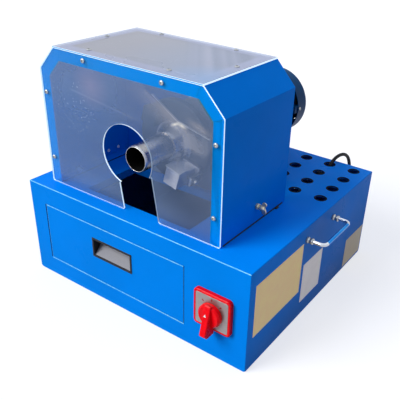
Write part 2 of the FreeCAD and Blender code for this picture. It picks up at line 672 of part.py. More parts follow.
def make_gear_case():
    """Cast case with a cavity for the gear pair, the rear bearing's boss and two bolted feet."""
    y = "CaseRear"
    outside = case_outline("case", y, "CaseDepth")
    foot = box("case_foot", ("SpindleX + FootShift - FootWidth / 2", CASE_FRONT, DECK),
               ("FootWidth", "CaseDepth", "FootThickness"))
    cavity_y = "CaseRear - CaseWall"
    cavity_depth = "CaseDepth - CaseWall"
    gear_space = cylinder("gear_space", "GearModule * (GearTeeth + 2) / 2 + CavityGap", cavity_depth,
                          ("SpindleX", cavity_y, SPINDLE_Z), TO_FRONT)
    pinion_space = cylinder("pinion_space", "GearModule * (PinionTeeth + 2) / 2 + CavityGap", cavity_depth,
                            (MOTOR_X, cavity_y, MOTOR_Z), TO_FRONT)
    hollow = cut("case_hollow", fuse("case_outside", outside + [foot]), [gear_space, pinion_space])
    boss = cylinder("case_boss", "BossRadius", "BossRise + CaseWall", ("SpindleX", "CaseRear", SPINDLE_Z), TO_FRONT)
    seat = cylinder("case_seat", "BearingRadius", "BearingWidth + 2 * Overshoot",
                    ("SpindleX", "CaseRear - BearingLip", SPINDLE_Z), TO_FRONT)
    shaft_hole = cylinder("case_shaft_hole", "ShaftRadius + ShaftHoleGap", "CaseWall + 2 * Overshoot",
                          (MOTOR_X, "CaseRear + Overshoot", MOTOR_Z), TO_FRONT)
    slots = []
    for side in ("-", "+"):
        for end in ("-", "+"):
            slots.append(cylinder("foot_hole", "FootHole", "FootThickness + 2 * Overshoot",
                                  (f"SpindleX + FootShift {side} (FootWidth / 2 - FootHoleInset)",
                                   f"CaseRear - CaseDepth / 2 {end} FootHolePitch / 2", f"{DECK} - Overshoot")))
    keep("gear_case", cut("gear_case", fuse("case_with_boss", [hollow, boss]), [seat, shaft_hole] + slots))


def make_case_cover():
    """Cover on the case's front, with the front bearing in its inward boss."""
    outside = case_outline("cover", CASE_FRONT, "CoverThickness")
    skirt = box("cover_trim", ("SpindleX - CabinetWidth / 2", f"{COVER_FRONT} - Overshoot", f"{DECK} - Overshoot"),
                ("CabinetWidth", "CoverThickness + 2 * Overshoot", "CoverRise + Overshoot"))
    plate = cut("cover_plate", fuse("cover_outside", outside), [skirt])
    boss = cylinder("cover_boss", "BossRadius", "BossRise + Overshoot",
                    ("SpindleX", f"{CASE_FRONT} + BossRise", SPINDLE_Z), TO_FRONT)
    seat = cylinder("cover_seat", "BearingRadius", "BearingWidth",
                    ("SpindleX", f"{CASE_FRONT} + BossRise", SPINDLE_Z), TO_FRONT)
    mouth = cylinder("cover_mouth", "SpindleRadius + MouthGap", "CoverThickness + 2 * Overshoot",
                     ("SpindleX", f"{CASE_FRONT} + Overshoot", SPINDLE_Z), TO_FRONT)
    keep("case_cover", cut("case_cover", fuse("cover_with_boss", [plate, boss]), [seat, mouth]))


def make_bearing(label, rear_y):
    """Ball bearing as one plain ring between its seat and the spindle."""
    body = round_body(label, "SpindleX", rear_y, SPINDLE_Z)
    ring = sketch(body, "XY")
    circle(ring, "0", "0", "BearingRadius")
    circle(ring, "0", "0", "BearingBore")
    pad(body, ring, "BearingWidth")
    keep(label, body)


def gear_face(teeth, tooth_at):
    """Face of an involute spur gear, with a tooth centred at the angle tooth_at (radians)."""
    module = value("GearModule")
    pressure = math.radians(value("PressureAngle"))
    pitch = module * teeth / 2
    base = pitch * math.cos(pressure)
    tip = pitch + module
    root = pitch - 1.25 * module
    half_at_pitch = math.pi / (2 * teeth) - value("Backlash") / (4 * pitch)

    def half_angle(radius):
        angle = math.acos(min(1, base / radius))
        return half_at_pitch + (math.tan(pressure) - pressure) - (math.tan(angle) - angle)

    def point(radius, angle):
        return FreeCAD.Vector(radius * math.cos(angle), radius * math.sin(angle), 0)

    start = max(base, root)
    flank = [start, (start + tip) / 2, tip]
    edges = []
    step = 2 * math.pi / teeth
    for tooth in range(teeth):
        centre = tooth_at + tooth * step
        low = half_angle(start)
        rising = [point(root, centre - low)] + [point(radius, centre - half_angle(radius)) for radius in flank]
        falling = [point(radius, centre + half_angle(radius)) for radius in reversed(flank)] + [point(root, centre + low)]
        corners = rising + falling
        for first, second in zip(corners[:-1], corners[1:]):
            if first.distanceToPoint(second) > 1e-6:
                edges.append(Part.LineSegment(first, second).toShape())
        next_root = point(root, centre + step - low)
        edges.append(Part.LineSegment(corners[-1], next_root).toShape())
    return Part.Face(Part.Wire(edges))


def make_gear(label, teeth, tooth_at, x, z, bore):
    """Spur gear with plain sides and a bore for its shaft."""
    face_width = value("GearFace")
    shape = gear_face(teeth, tooth_at).extrude(FreeCAD.Vector(0, 0, face_width))
    shape = shape.cut(Part.makeCylinder(value(bore), face_width))
    item = doc.addObject("Part::Feature", label)
    item.Shape = shape
    place(item, x, GEAR_REAR, z, TO_FRONT)
    keep(label, item)


def make_gears():
    line = math.radians(value("GearLineAngle"))
    gear_teeth = int(value("GearTeeth"))
    pinion_teeth = int(value("PinionTeeth"))
    make_gear("spindle_gear", gear_teeth, line, "SpindleX", SPINDLE_Z, "SpindleRadius")
    gap_at = line + math.pi + math.pi / pinion_teeth
    make_gear("motor_pinion", pinion_teeth, gap_at, MOTOR_X, MOTOR_Z, "ShaftRadius")


# Rotating head


def make_spindle():
    """Hollow spindle from the face plate through both bearings."""
    rear = "CaseRear - BearingLip - SpindleEnd"
    body = round_body("spindle_shaft", "SpindleX", rear, SPINDLE_Z)
    length = f"({rear}) - ({PLATE_FRONT})"
    section = sketch(body, "XZ")
    outline(section, [
        ("SpindleBore", "0"),
        ("SpindleRadius", "0"),
        ("SpindleRadius", length),
        ("SpindleBore", length),
    ])
    revolve(body, section)
    keep("spindle_shaft", body)

    plate = round_body("face_plate", "SpindleX", PLATE_REAR, SPINDLE_Z)
    section = sketch(plate, "XZ")
    outline(section, [
        ("SpindleRadius", "-HeadGap / 2"),
        ("SpindleRadius + HubRise", "-HeadGap / 2"),
        ("SpindleRadius + HubRise", "0"),
        ("FacePlateRadius", "0"),
        ("FacePlateRadius", "FacePlateThickness - CollarBevel"),
        ("FacePlateRadius - CollarBevel", "FacePlateThickness"),
        ("SpindleRadius", "FacePlateThickness"),
    ])
    revolve(plate, section)
    keep("face_plate", plate)

    collar = round_body("mandrel_collar", "SpindleX", PLATE_FRONT, SPINDLE_Z)
    section = sketch(collar, "XZ")
    outline(section, [
        ("SpindleBore", "0"),
        ("CollarStep", "0"),
        ("CollarStep", "CollarStepLength"),
        ("CollarRadius", "CollarStepLength"),
        ("CollarRadius", "CollarLength - CollarBevel"),
        ("CollarRadius - CollarBevel", "CollarLength"),
        ("MandrelRadius - SpigotStep", "CollarLength"),
        ("MandrelRadius - SpigotStep", "CollarLength - MandrelSocket"),
        ("SpindleBore", "CollarLength - MandrelSocket"),
    ])
    revolve(collar, section)
    keep("mandrel_collar", collar)


def make_mandrel():
    """Hollow mandrel: a spigot in the collar, the full radius in front of it, a groove and a lip."""
    seat = f"{COLLAR_FRONT} + MandrelSocket"
    body = round_body("mandrel", "SpindleX", seat, SPINDLE_Z)
    length = f"(({seat}) - MandrelTip)"
    section = sketch(body, "XZ")
    outline(section, [
        ("MandrelRadius - MandrelWall", "0"),
        ("MandrelRadius - SpigotStep", "0"),
        ("MandrelRadius - SpigotStep", "MandrelSocket"),
        ("MandrelRadius", "MandrelSocket"),
        ("MandrelRadius", f"{length} - LipLength - LipGroove"),
        ("MandrelRadius - LipGrooveDepth", f"{length} - LipLength - LipGroove"),
        ("MandrelRadius - LipGrooveDepth", f"{length} - LipLength"),
        ("MandrelRadius", f"{length} - LipLength"),
        ("MandrelRadius", f"{length} - LipBevel"),
        ("MandrelRadius - LipBevel", length),
        ("MandrelRadius - MandrelWall", length),
    ])
    revolve(body, section)
    keep("mandrel", body)


def head_frame(label, y):
    """A body in the knife's own directions: X along the guide, Y across it and Z to the front."""
    turn = TO_FRONT.multiply(FreeCAD.Rotation(FreeCAD.Vector(0, 0, 1), value("GuideAngle")))
    body = place(new_body(label), "SpindleX", y, SPINDLE_Z, turn)
    return body


def make_knife_guide():
    """Slotted guide on the face plate, with the lug that carries the adjusting screw."""
    body = head_frame("knife_guide", PLATE_FRONT)
    base = sketch(body, "XY")
    far = "GuideOuter - LugThickness"
    low = "-GuideOffset - GuideWidth / 2"
    outline(base, [
        ("GuideInner", low),
        (f"{far} - GuideBevel", low),
        (far, f"{low} + GuideBevelRise"),
        (far, f"{low} + GuideWidth"),
        ("GuideInner", f"{low} + GuideWidth"),
    ])
    pad(body, base, "GuideThickness")
    slot = sketch(body, "XY", "GuideThickness")
    rectangle(slot, "GuideInner - Overshoot", "-GuideOffset - GuideSlot / 2",
              "GuideOuter - GuideInner - LugThickness + 2 * Overshoot", "GuideSlot")
    pocket(body, slot, "GuideThickness - GuideFloor")
    lug = sketch(body, "XY")
    rectangle(lug, "GuideOuter - LugThickness", "-GuideOffset - LugWidth / 2", "LugThickness", "LugWidth")
    pad(body, lug, "GuideThickness + LugHeight")
    hole = sketch(body, "YZ", "GuideOuter")
    circle(hole, "-GuideOffset", "GuideThickness + ArmSide / 2", "ScrewRadius + ScrewClearance")
    pocket(body, hole, "LugThickness")
    keep("knife_guide", body)


def make_knife_arm():
    """Square tool arm with a tongue in the guide's slot and a threaded pocket for the screw."""
    arm = head_frame("knife_arm", PLATE_FRONT)
    block = sketch(arm, "XY", "GuideThickness + TongueGap")
    rectangle(block, "ArmCentre - ArmSide / 2", "-GuideOffset - ArmSide / 2", "ArmSide", "ArmSide")
    pad(arm, block, "ArmLength")
    rounded(arm, "BendRadius", runs_along("z"))
    tongue = sketch(arm, "XY", "GuideFloor + TongueGap")
    rectangle(tongue, "ArmCentre - ArmSide / 2 + TongueInset", "-GuideOffset - GuideSlot / 2 + TongueGap",
              "ArmSide - 2 * TongueInset", "GuideSlot - 2 * TongueGap")
    pad(arm, tongue, "GuideThickness - GuideFloor")
    hole = sketch(arm, "YZ", "ArmCentre + ArmSide / 2")
    circle(hole, "-GuideOffset", "GuideThickness + ArmSide / 2", "ScrewRadius + ScrewClearance")
    pocket(arm, hole, "ScrewPocket")
    keep("knife_arm", arm)

    knife = head_frame("knife", PLATE_FRONT)
    section = sketch(knife, "XY", "GuideThickness + TongueGap + ArmLength - KnifeDepth")
    face = "-GuideOffset + ArmSide / 2"
    outline(section, [
        ("KnifeReach + KnifeBevel", face),
        ("KnifeReach + KnifeLength", face),
        ("KnifeReach + KnifeLength", f"{face} + KnifeThickness"),
        ("KnifeReach", f"{face} + KnifeThickness"),
    ])
    pad(knife, section, "KnifeDepth")
    keep("knife", knife)


def make_adjusting_screw():
    """Screw that moves the arm along its guide, with a knurled head outside the lug."""
    turn = TO_FRONT.multiply(FreeCAD.Rotation(FreeCAD.Vector(0, 0, 1), value("GuideAngle"))).multiply(TO_RIGHT)
    angle = "(GuideAngle * 1deg)"
    out = "GuideOuter"
    x = f"SpindleX + ({out}) * cos{angle} + GuideOffset * sin{angle}"
    z = f"{SPINDLE_Z} + ({out}) * sin{angle} - GuideOffset * cos{angle}"
    y = f"{PLATE_FRONT} - GuideThickness - ArmSide / 2"
    body = place(new_body("adjusting_screw"), x, y, z, turn)
    section = sketch(body, "XZ")
    outline(section, [
        ("0", "-ScrewReach"),
        ("ScrewRadius", "-ScrewReach"),
        ("ScrewRadius", "ScrewSeat"),
        ("ScrewHeadRadius", "ScrewSeat"),
        ("ScrewHeadRadius", "ScrewHead"),
        ("0", "ScrewHead"),
    ])
    revolve(body, section)
    flats = sketch(body, "XY", "ScrewHead")
    rectangle(flats, "-ScrewSlot / 2", "-ScrewHeadRadius", "ScrewSlot", "2 * ScrewHeadRadius")
    pocket(body, flats, "ScrewSlotDepth")
    keep("adjusting_screw", body)


def make_balance():
    """Balance weight on the face plate, opposite the knife arm."""
    body = head_frame("balance_weight", PLATE_FRONT)
    base = sketch(body, "XY")
    rectangle(base, "-ArmCentre - BalanceLength", "GuideOffset - ArmSide / 2", "ArmSide", "ArmSide")
    pad(body, base, "BalanceThickness")
    rounded(body, "BendRadius", runs_along("z"))
    keep("balance_weight", body)


# Motor


def make_motor():
    """Flange motor: front flange, finned stator with its rear shield, cowl, shaft and fan."""
    flange = round_body("motor_flange", MOTOR_X, "StatorFront", MOTOR_Z)
    section = sketch(flange, "XZ")
    reach = "StatorFront - CaseRear"
    outline(section, [
        ("ShaftRadius + ShaftClearance", "0"),
        ("StatorRadius", "0"),
        ("StatorRadius - FlangeNeck", f"{reach} - MotorFlange - FlangeNeckRise"),
        ("MotorRadius - FlangeRim", f"{reach} - MotorFlange"),
        ("MotorRadius", f"{reach} - MotorFlange"),
        ("MotorRadius", reach),
        ("ShaftRadius + ShaftClearance", reach),
    ])
    revolve(flange, section)
    keep("motor_flange", flange)

    stator = round_body("motor_stator", MOTOR_X, "StatorRear", MOTOR_Z)
    length = "StatorRear - StatorFront"
    core = sketch(stator, "XY")
    circle(core, "0", "0", "StatorRadius")
    circle(core, "0", "0", "ShaftRadius + ShaftClearance")
    pad(stator, core, length)
    fin = sketch(stator, "XY")
    rectangle(fin, "StatorRadius - FinRoot", "-FinThickness / 2", "FinHeight + FinRoot", "FinThickness")
    first_fin = pad(stator, fin, f"{length} - FinTrim")
    polar(stator, [first_fin], "FinCount")
    disc = sketch(stator, "XY")
    circle(disc, "0", "0", "StatorRadius")
    circle(disc, "0", "0", "ShaftRadius + ShaftClearance")
    pad(stator, disc, "ShieldDepth", reverse=True)
    lug = sketch(stator, "XY")
    rectangle(lug, "StatorRadius - FinThickness", "-CowlLug / 2",
              "CowlRadius - CowlWall - CowlFit - StatorRadius + FinThickness", "CowlLug")
    first_lug = pad(stator, lug, "ShieldDepth + CowlLug / 2", reverse=True)
    polar(stator, [first_lug], "CowlLugs")
    keep("motor_stator", stator)

    cowl = round_body("fan_cowl", MOTOR_X, "CowlRear", MOTOR_Z)
    depth = "CowlRear - CowlFront"
    section = sketch(cowl, "XZ")
    outline(section, [
        ("0", "0"),
        ("CowlRadius - CowlBevel", "0"),
        ("CowlRadius", "CowlBevel"),
        ("CowlRadius", depth),
        ("CowlRadius - CowlWall", depth),
        ("CowlRadius - CowlWall", "CowlInnerBevel"),
        ("CowlRadius - CowlInnerBevel", "CowlWall"),
        ("0", "CowlWall"),
    ])
    revolve(cowl, section)
    slot = sketch(cowl, "XY")
    rectangle(slot, "CowlSlotStart", "-CowlSlotWidth / 2", "CowlSlotLength", "CowlSlotWidth")
    first_slot = pocket(cowl, slot, "2 * CowlWall", reverse=True)
    polar(cowl, [first_slot], "CowlSlots")
    keep("fan_cowl", cowl)

    shaft_front = f"{GEAR_REAR} - GearFace"
    shaft = cylinder("rotor_shaft", "ShaftRadius", f"FanFront + FanDepth - ({shaft_front})",
                     (MOTOR_X, "FanFront + FanDepth", MOTOR_Z), TO_FRONT)
    keep("rotor_shaft", shaft)

    fan = round_body("motor_fan", MOTOR_X, "FanFront + FanDepth", MOTOR_Z)
    hub = sketch(fan, "XY")
    circle(hub, "0", "0", "FanHub")
    circle(hub, "0", "0", "ShaftRadius")
    pad(fan, hub, "FanDepth")
    back = sketch(fan, "XY", "FanDepth - FanBlade")
    circle(back, "0", "0", "FanRadius")
    circle(back, "0", "0", "ShaftRadius")
    pad(fan, back, "FanBlade")
    blade = sketch(fan, "XY")
    rectangle(blade, "FanHub - FanRoot", "-FanBlade / 2", "FanRadius - FanHub + FanRoot", "FanBlade")
    first_blade = pad(fan, blade, "FanDepth")
    polar(fan, [first_blade], "FanBlades")
    keep("motor_fan", fan)


def make_terminal_box():
    """Terminal box on a neck that fits the fins, with a rimmed lid and a cable gland on the left."""
    top = f"{MOTOR_Z} + {FIN_TIP}"
    left = f"{MOTOR_X} - BoxWidth / 2"
    gland_y = "BoxFront + BoxLength / 2"
    gland_z = f"{top} + BoxNeck + BoxHeight / 2"
    solid = box("box_outside", (left, "BoxFront", f"{top} + BoxNeck"), ("BoxWidth", "BoxLength", "BoxHeight"))
    lid = box("box_lid", (f"{left} - BoxLidRim", "BoxFront - BoxLidRim", f"{top} + BoxNeck + BoxHeight"),
              ("BoxWidth + 2 * BoxLidRim", "BoxLength + 2 * BoxLidRim", "BoxLid"))
    neck = box("box_neck", (f"{left} + BoxNeckInset", "BoxFront + BoxNeckInset", f"{top} - BoxNeck"),
               ("BoxWidth - 2 * BoxNeckInset", "BoxLength - 2 * BoxNeckInset", "2 * BoxNeck"))
    gland = cylinder("box_gland", "GlandRadius", "GlandLength", (left, gland_y, gland_z), TO_LEFT)
    bore = cylinder("box_gland_bore", "GlandBore", "2 * GlandLength", (f"{left} + GlandLength / 2", gland_y, gland_z), TO_LEFT)
    fins = cylinder("box_fins", FIN_TIP, "BoxLength + 2 * Overshoot",
                    (MOTOR_X, "BoxFront + BoxLength + Overshoot", MOTOR_Z), TO_FRONT)
    keep("terminal_box", cut("terminal_box", fuse("box_solid", [solid, lid, neck, gland]), [bore, fins]))


# Hood


def make_hood_wall(label, side):
    """Folded side of the hood: wall, bevel and the top flange under the top window."""
    body = new_body(label)
    edge = HOOD_RIGHT if side > 0 else HOOD_LEFT
    into = "-" if side > 0 else "+"
    top = f"({HOOD_TOP} - WindowThickness)"
    slope = "(atan(HoodBevelHeight / HoodBevelWidth))"
    wall_miter = f"(SheetThickness * tan((90deg - {slope}) / 2))"
    top_miter = f"(SheetThickness * tan({slope} / 2))"
    low_bend = f"{HOOD_TOP} - HoodBevelHeight"
    rise = f"({top} - ({low_bend}))"
    points = [
        (edge, DECK),
        (edge, low_bend),
        (f"{edge} {into} HoodBevelWidth * {rise} / HoodBevelHeight", top),
        (f"{edge} {into} (HoodBevelWidth + HoodFlange)", top),
        (f"{edge} {into} (HoodBevelWidth + HoodFlange)", f"{top} - SheetThickness"),
        (f"{edge} {into} (HoodBevelWidth * {rise} / HoodBevelHeight + {top_miter})", f"{top} - SheetThickness"),
        (f"{edge} {into} SheetThickness", f"{low_bend} - {wall_miter}"),
        (f"{edge} {into} SheetThickness", DECK),
    ]
    start = "HoodFront + WindowThickness + SheetThickness"
    profile = sketch(body, "XZ", f"-({start})")
    outline(profile, points)
    pad(body, profile, f"HoodRear - SheetThickness - ({start})", reverse=True)
    if side > 0:
        hole = sketch(body, "YZ", edge)
        circle(hole, "LatchY", LATCH_Z, "WingShank + PinClearance")
        pocket(body, hole, "SheetThickness")
    keep(label, body)


def hood_face_points(inset):
    """Front outline of the hood, moved inwards by inset, open downwards."""
    slope = "(atan(HoodBevelHeight / HoodBevelWidth))"
    wall_miter = f"(({inset}) * tan((90deg - {slope}) / 2))"
    top_miter = f"(({inset}) * tan({slope} / 2))"
    top = f"({HOOD_TOP} - WindowThickness - ({inset}))"
    low_bend = f"({HOOD_TOP} - HoodBevelHeight - {wall_miter})"
    trim = "HoodBevelWidth * (HoodBevelHeight - WindowThickness) / HoodBevelHeight"
    left = f"({HOOD_LEFT} + ({inset}))"
    right = f"({HOOD_RIGHT} - ({inset}))"
    return [
        (left, DECK),
        (left, low_bend),
        (f"({HOOD_LEFT} + {trim} + {top_miter})", top),
        (f"({HOOD_RIGHT} - {trim} - {top_miter})", top),
        (right, low_bend),
        (right, DECK),
    ]


def make_front_frame():
    """Front frame behind the window, with a flange folded back under the top window."""
    body = new_body("hood_front_frame")
    front = "HoodFront + WindowThickness"
    profile = sketch(body, "XZ", f"-({front})")
    outline(profile, hood_face_points("0") + list(reversed(hood_face_points("HoodFlange"))))
    pad(body, profile, "SheetThickness", reverse=True)
    flange = sketch(body, "XZ", f"-({front} + SheetThickness)")
    left = f"{HOOD_LEFT} + HoodBevelWidth + HoodFlange"
    rectangle(flange, left, f"{HOOD_TOP} - WindowThickness - SheetThickness",
              "HoodWidth - 2 * (HoodBevelWidth + HoodFlange)", "SheetThickness")
    pad(body, flange, "HoodFlange", reverse=True)
    keep("hood_front_frame", body)


def make_rear_frame():
    """Rear plate, open on the right so that the hood swings clear of the motor."""
    body = new_body("hood_rear_frame")
    profile = sketch(body, "XZ", "-HoodRear")
    opening = [
        (f"{HOOD_RIGHT} - HoodFlange", DECK),
        (f"{HOOD_RIGHT} - HoodFlange", f"{DECK} + RearOpeningHeight"),
        ("RearOpeningX", f"{DECK} + RearOpeningHeight"),
        ("RearOpeningX", DECK),
    ]
    outline(profile, hood_face_points("0") + opening)
    pad(body, profile, "SheetThickness")
    flange = sketch(body, "XZ", "-HoodRear + SheetThickness")
    rectangle(flange, f"{HOOD_LEFT} + HoodBevelWidth + HoodFlange", f"{HOOD_TOP} - WindowThickness - SheetThickness",
              "HoodWidth - 2 * (HoodBevelWidth + HoodFlange)", "SheetThickness")
    pad(body, flange, "HoodFlange")
    keep("hood_rear_frame", body)


def make_windows():
    """Clear front plate with the keyhole for the hose, and the clear top plate."""
    front = new_body("front_window")
    profile = sketch(front, "XZ", "-HoodFront - WindowThickness")
    outline(profile, hood_face_points("0"))
    pad(front, profile, "WindowThickness")
    keyhole = sketch(front, "XZ", "-HoodFront")
    circle(keyhole, "KeyholeX", f"{DECK} + KeyholeHeight", "KeyholeRadius")
    pocket(front, keyhole, "WindowThickness")
    slot = sketch(front, "XZ", "-HoodFront")
    outline(slot, [
        ("SlotLeftTop", f"{DECK} + SlotLeftRise"),
        ("SlotLeftFoot", f"{DECK} - Overshoot"),
        ("SlotRightFoot", f"{DECK} - Overshoot"),
        ("SlotRightTop", f"{DECK} + SlotRightRise"),
    ])
    pocket(front, slot, "WindowThickness")
    keep("front_window", front)

    top = new_body("top_window")
    trim = "HoodBevelWidth * (HoodBevelHeight - WindowThickness) / HoodBevelHeight"
    profile = sketch(top, "XY", f"{HOOD_TOP} - WindowThickness")
    rectangle(profile, f"{HOOD_LEFT} + {trim}", "HoodFront", f"HoodWidth - 2 * {trim}", "HoodRear - HoodFront")
    pad(top, profile, "WindowThickness")
    keep("top_window", top)


def make_hinge(end, middle):
    """Lift-off hinge: a deck leaf with its knuckle and pin, and a hood leaf that turns on the pin."""
    front = f"({middle} - HingeLength / 2)"
    seam = f"({middle})"
    deck = new_body(f"deck_hinge_{end}")
    leaf = sketch(deck, "XY", DECK)
    left = "HingeX - KnuckleRadius - KnuckleGap - DeckLeafWidth"
    rectangle(leaf, left, front, "DeckLeafWidth", "HingeLength")
    pad(deck, leaf, "LeafThickness")
    bridge = sketch(deck, "XY", DECK)
    rectangle(bridge, "HingeX - KnuckleRadius - KnuckleGap - LeafOverlap", front,
              "KnuckleRadius + KnuckleGap + LeafOverlap - HingePin", "HingeLength / 2 - KnuckleGap")
    pad(deck, bridge, "LeafThickness")
    knuckle = sketch(deck, "XZ", f"-{front}")
    circle(knuckle, "HingeX", HINGE_Z, "KnuckleRadius")
    pad(deck, knuckle, "HingeLength / 2 - KnuckleGap", reverse=True)
    pin = sketch(deck, "XZ", f"-{front}")
    circle(pin, "HingeX", HINGE_Z, "HingePin")
    pad(deck, pin, "HingeLength - PinTrim", reverse=True)
    keep(f"deck_hinge_{end}", deck)

    hood = new_body(f"hood_hinge_{end}")
    barrel = sketch(hood, "XZ", f"-{seam}")
    circle(barrel, "HingeX", HINGE_Z, "KnuckleRadius")
    pad(hood, barrel, "HingeLength / 2", reverse=True)
    web = sketch(hood, "YZ", f"{HOOD_LEFT} - LeafThickness")
    outline(web, [
        (seam, f"{HINGE_Z} - KnuckleRadius / 2"),
        (f"{front} + HingeLength", f"{HINGE_Z} - KnuckleRadius / 2"),
        (f"{front} + HingeLength", f"{HINGE_Z} + LeafHeight"),
        (front, f"{HINGE_Z} + LeafHeight"),
        (front, f"{HINGE_Z} + LeafRelief"),
        (seam, f"{HINGE_Z} + LeafRelief"),
    ])
    pad(hood, web, "LeafThickness")
    bore = sketch(hood, "XZ", f"-{seam}")
    circle(bore, "HingeX", HINGE_Z, "HingePin + PinClearance")
    pocket(hood, bore, "HingeLength / 2")
    keep(f"hood_hinge_{end}", hood)


def make_latch():
    """Latch tab on the deck, with a slot open upwards for the shank of the hood's wing screw."""
    tab = new_body("latch_tab")
    outer = f"({HOOD_RIGHT} - SheetThickness - LatchGap)"
    profile = sketch(tab, "XZ", "-(LatchY - LatchWidth / 2)")
    outline(profile, [
        (outer, DECK),
        (outer, f"{DECK} + LatchHeight"),
        (f"{outer} - LatchThickness", f"{DECK} + LatchHeight"),
        (f"{outer} - LatchThickness", f"{DECK} + LatchThickness"),
        (f"{outer} - LatchFoot", f"{DECK} + LatchThickness"),
        (f"{outer} - LatchFoot", DECK),
    ])
    pad(tab, profile, "LatchWidth", reverse=True)
    slot = sketch(tab, "YZ", outer)
    rectangle(slot, "LatchY - LatchSlot", LATCH_Z, "2 * LatchSlot", "LatchHeight - LatchRise + Overshoot")
    pocket(tab, slot, "LatchThickness")
    root = sketch(tab, "YZ", outer)
    circle(root, "LatchY", LATCH_Z, "LatchSlot")
    pocket(tab, root, "LatchThickness")
    keep("latch_tab", tab)

    screw = round_body("wing_screw", HOOD_RIGHT, "LatchY", LATCH_Z, TO_RIGHT)
    section = sketch(screw, "XZ")
    outline(section, [
        ("0", "-WingShankLength"),
        ("WingNut", "-WingShankLength"),
        ("WingNut", "-WingShankLength + WingNutLength"),
        ("WingShank", "-WingShankLength + WingNutLength"),
        ("WingShank", "0"),
        ("WingHub", "0"),
        ("WingHub - WingHubTaper", "WingHubLength"),
        ("0", "WingHubLength"),
    ])
    revolve(screw, section)
    wings = sketch(screw, "YZ", "-WingThickness / 2")
    right = [
        ("WingRoot", "WingFoot"),
        ("WingSpan / 2 - WingSide", "WingSideRise"),
        ("WingSpan / 2", "WingHeight"),
        ("WingSpan / 2 - WingTip", "WingHeight + WingTipRise"),
        ("WingHub / 2", "WingHubLength"),
    ]
    outline(wings, right + [(f"-({x})", z) for x, z in reversed(right)])
    pad(screw, wings, "WingThickness")
    keep("wing_screw", screw)


# Mains lead. The route is chosen by hand: from the clamp under the deck, out of a rack hole,
# over the rear edge, down behind the cabinet and along the floor to the coil.

CABLE_SIDES = 8
CABLE_BEND_SHARE = 0.45
CABLE_ROUTE = [
    (165, 196, 158),
    (171, 214, 206),
    (181, 233, 223),
    (189, 257, 218),
    (192, 272, 196),
    (193, 275, 164),
    (193, 269, 124),
    (191, 262, 82),
    (186, 262, 44),
    (172, 264, 15),
    (148, 266, 4.6),
    (120, 266.5, 3.95),
    (92, 266.5, 3.95),
]


def cable_path(points):
    """Straight runs joined by tangent arcs, as large as the two runs of each turn allow."""
    corners = [FreeCAD.Vector(*point) for point in points]
    edges = []
    last = corners[0]
    for before, corner, after in zip(corners[:-2], corners[1:-1], corners[2:]):
        incoming = (corner - before).normalize()
        outgoing = (after - corner).normalize()
        turn = incoming.getAngle(outgoing)
        reach = CABLE_BEND_SHARE * min((corner - before).Length, (after - corner).Length)
        radius = reach / math.tan(turn / 2)
        start = corner - incoming * reach
        end = corner + outgoing * reach
        inward = (outgoing - incoming).normalize()
        centre = corner + inward * (radius / math.cos(turn / 2))
        middle = centre - inward * radius
        edges.append(Part.LineSegment(last, start).toShape())
        edges.append(Part.Arc(start, middle, end).toShape())
        last = end
    edges.append(Part.LineSegment(last, corners[-1]).toShape())
    return Part.Wire(edges)


def cable_section(start, direction, radius):
    """An eight-sided section with its corners on the lead's round."""
    side = direction.cross(FreeCAD.Vector(0, 0, 1)).normalize()
    up = side.cross(direction).normalize()
    corners = []
    for number in range(CABLE_SIDES + 1):
        angle = (number % CABLE_SIDES + 0.5) * 2 * math.pi / CABLE_SIDES
        corners.append(start + (side * math.cos(angle) + up * math.sin(angle)) * radius)
    return Part.makePolygon(corners)


def make_cable():
    wire = cable_path(CABLE_ROUTE)
    radius = value("CableRadius")
    start = FreeCAD.Vector(*CABLE_ROUTE[0])
    direction = FreeCAD.Vector(*CABLE_ROUTE[1]) - start
    ring = cable_section(start, direction.normalize(), radius)
    shape = wire.makePipeShell([ring], True, False)
    expected = CABLE_SIDES / 2 * math.sin(2 * math.pi / CABLE_SIDES) * radius ** 2 * wire.Length
    if abs(shape.Volume / expected - 1) > 0.01:
        raise RuntimeError(f"the lead's tube is not whole: {shape.Volume:.0f} of {expected:.0f}")
    item = doc.addObject("Part::Feature", "mains_cable")
    item.Shape = shape
    keep("mains_cable", item)

    coil = round_body("cable_coil", "CoilX", "CoilY", "0", FreeCAD.Rotation())
    section = sketch(coil, "XZ")
    inner = "CoilRadius - CoilWidth / 2"
    outer = "CoilRadius + CoilWidth / 2"
    outline(section, [
        (inner, "FloorGap"),
        (outer, "FloorGap"),
        (outer, "CoilHeight - CoilBevel"),
        (f"{outer} - CoilBevel", "CoilHeight"),
        (f"{inner} + CoilBevel", "CoilHeight"),
        (inner, "CoilHeight - CoilBevel"),
    ])
    revolve(coil, section)
    keep("cable_coil", coil)

    plug = round_body("mains_plug", "CoilX - 2 * CoilRadius / 3", "CoilY - CoilRadius - CoilWidth / 3",
                      "PlugRadius + FloorGap", TO_LEFT)
    section = sketch(plug, "XZ")
    outline(section, [
        ("0", "0"),
        ("PlugNeck", "0"),
        ("PlugRadius", "PlugTaper"),
        ("PlugRadius", "PlugLength"),
        ("0", "PlugLength"),
    ])
    revolve(plug, section)
    pins = sketch(plug, "XY", "PlugLength")
    circle(pins, "0", "-PinPitch / 2", "PinRadius")
    circle(pins, "0", "PinPitch / 2", "PinRadius")
    pad(plug, pins, "PinLength")
    keep("mains_plug", plug)


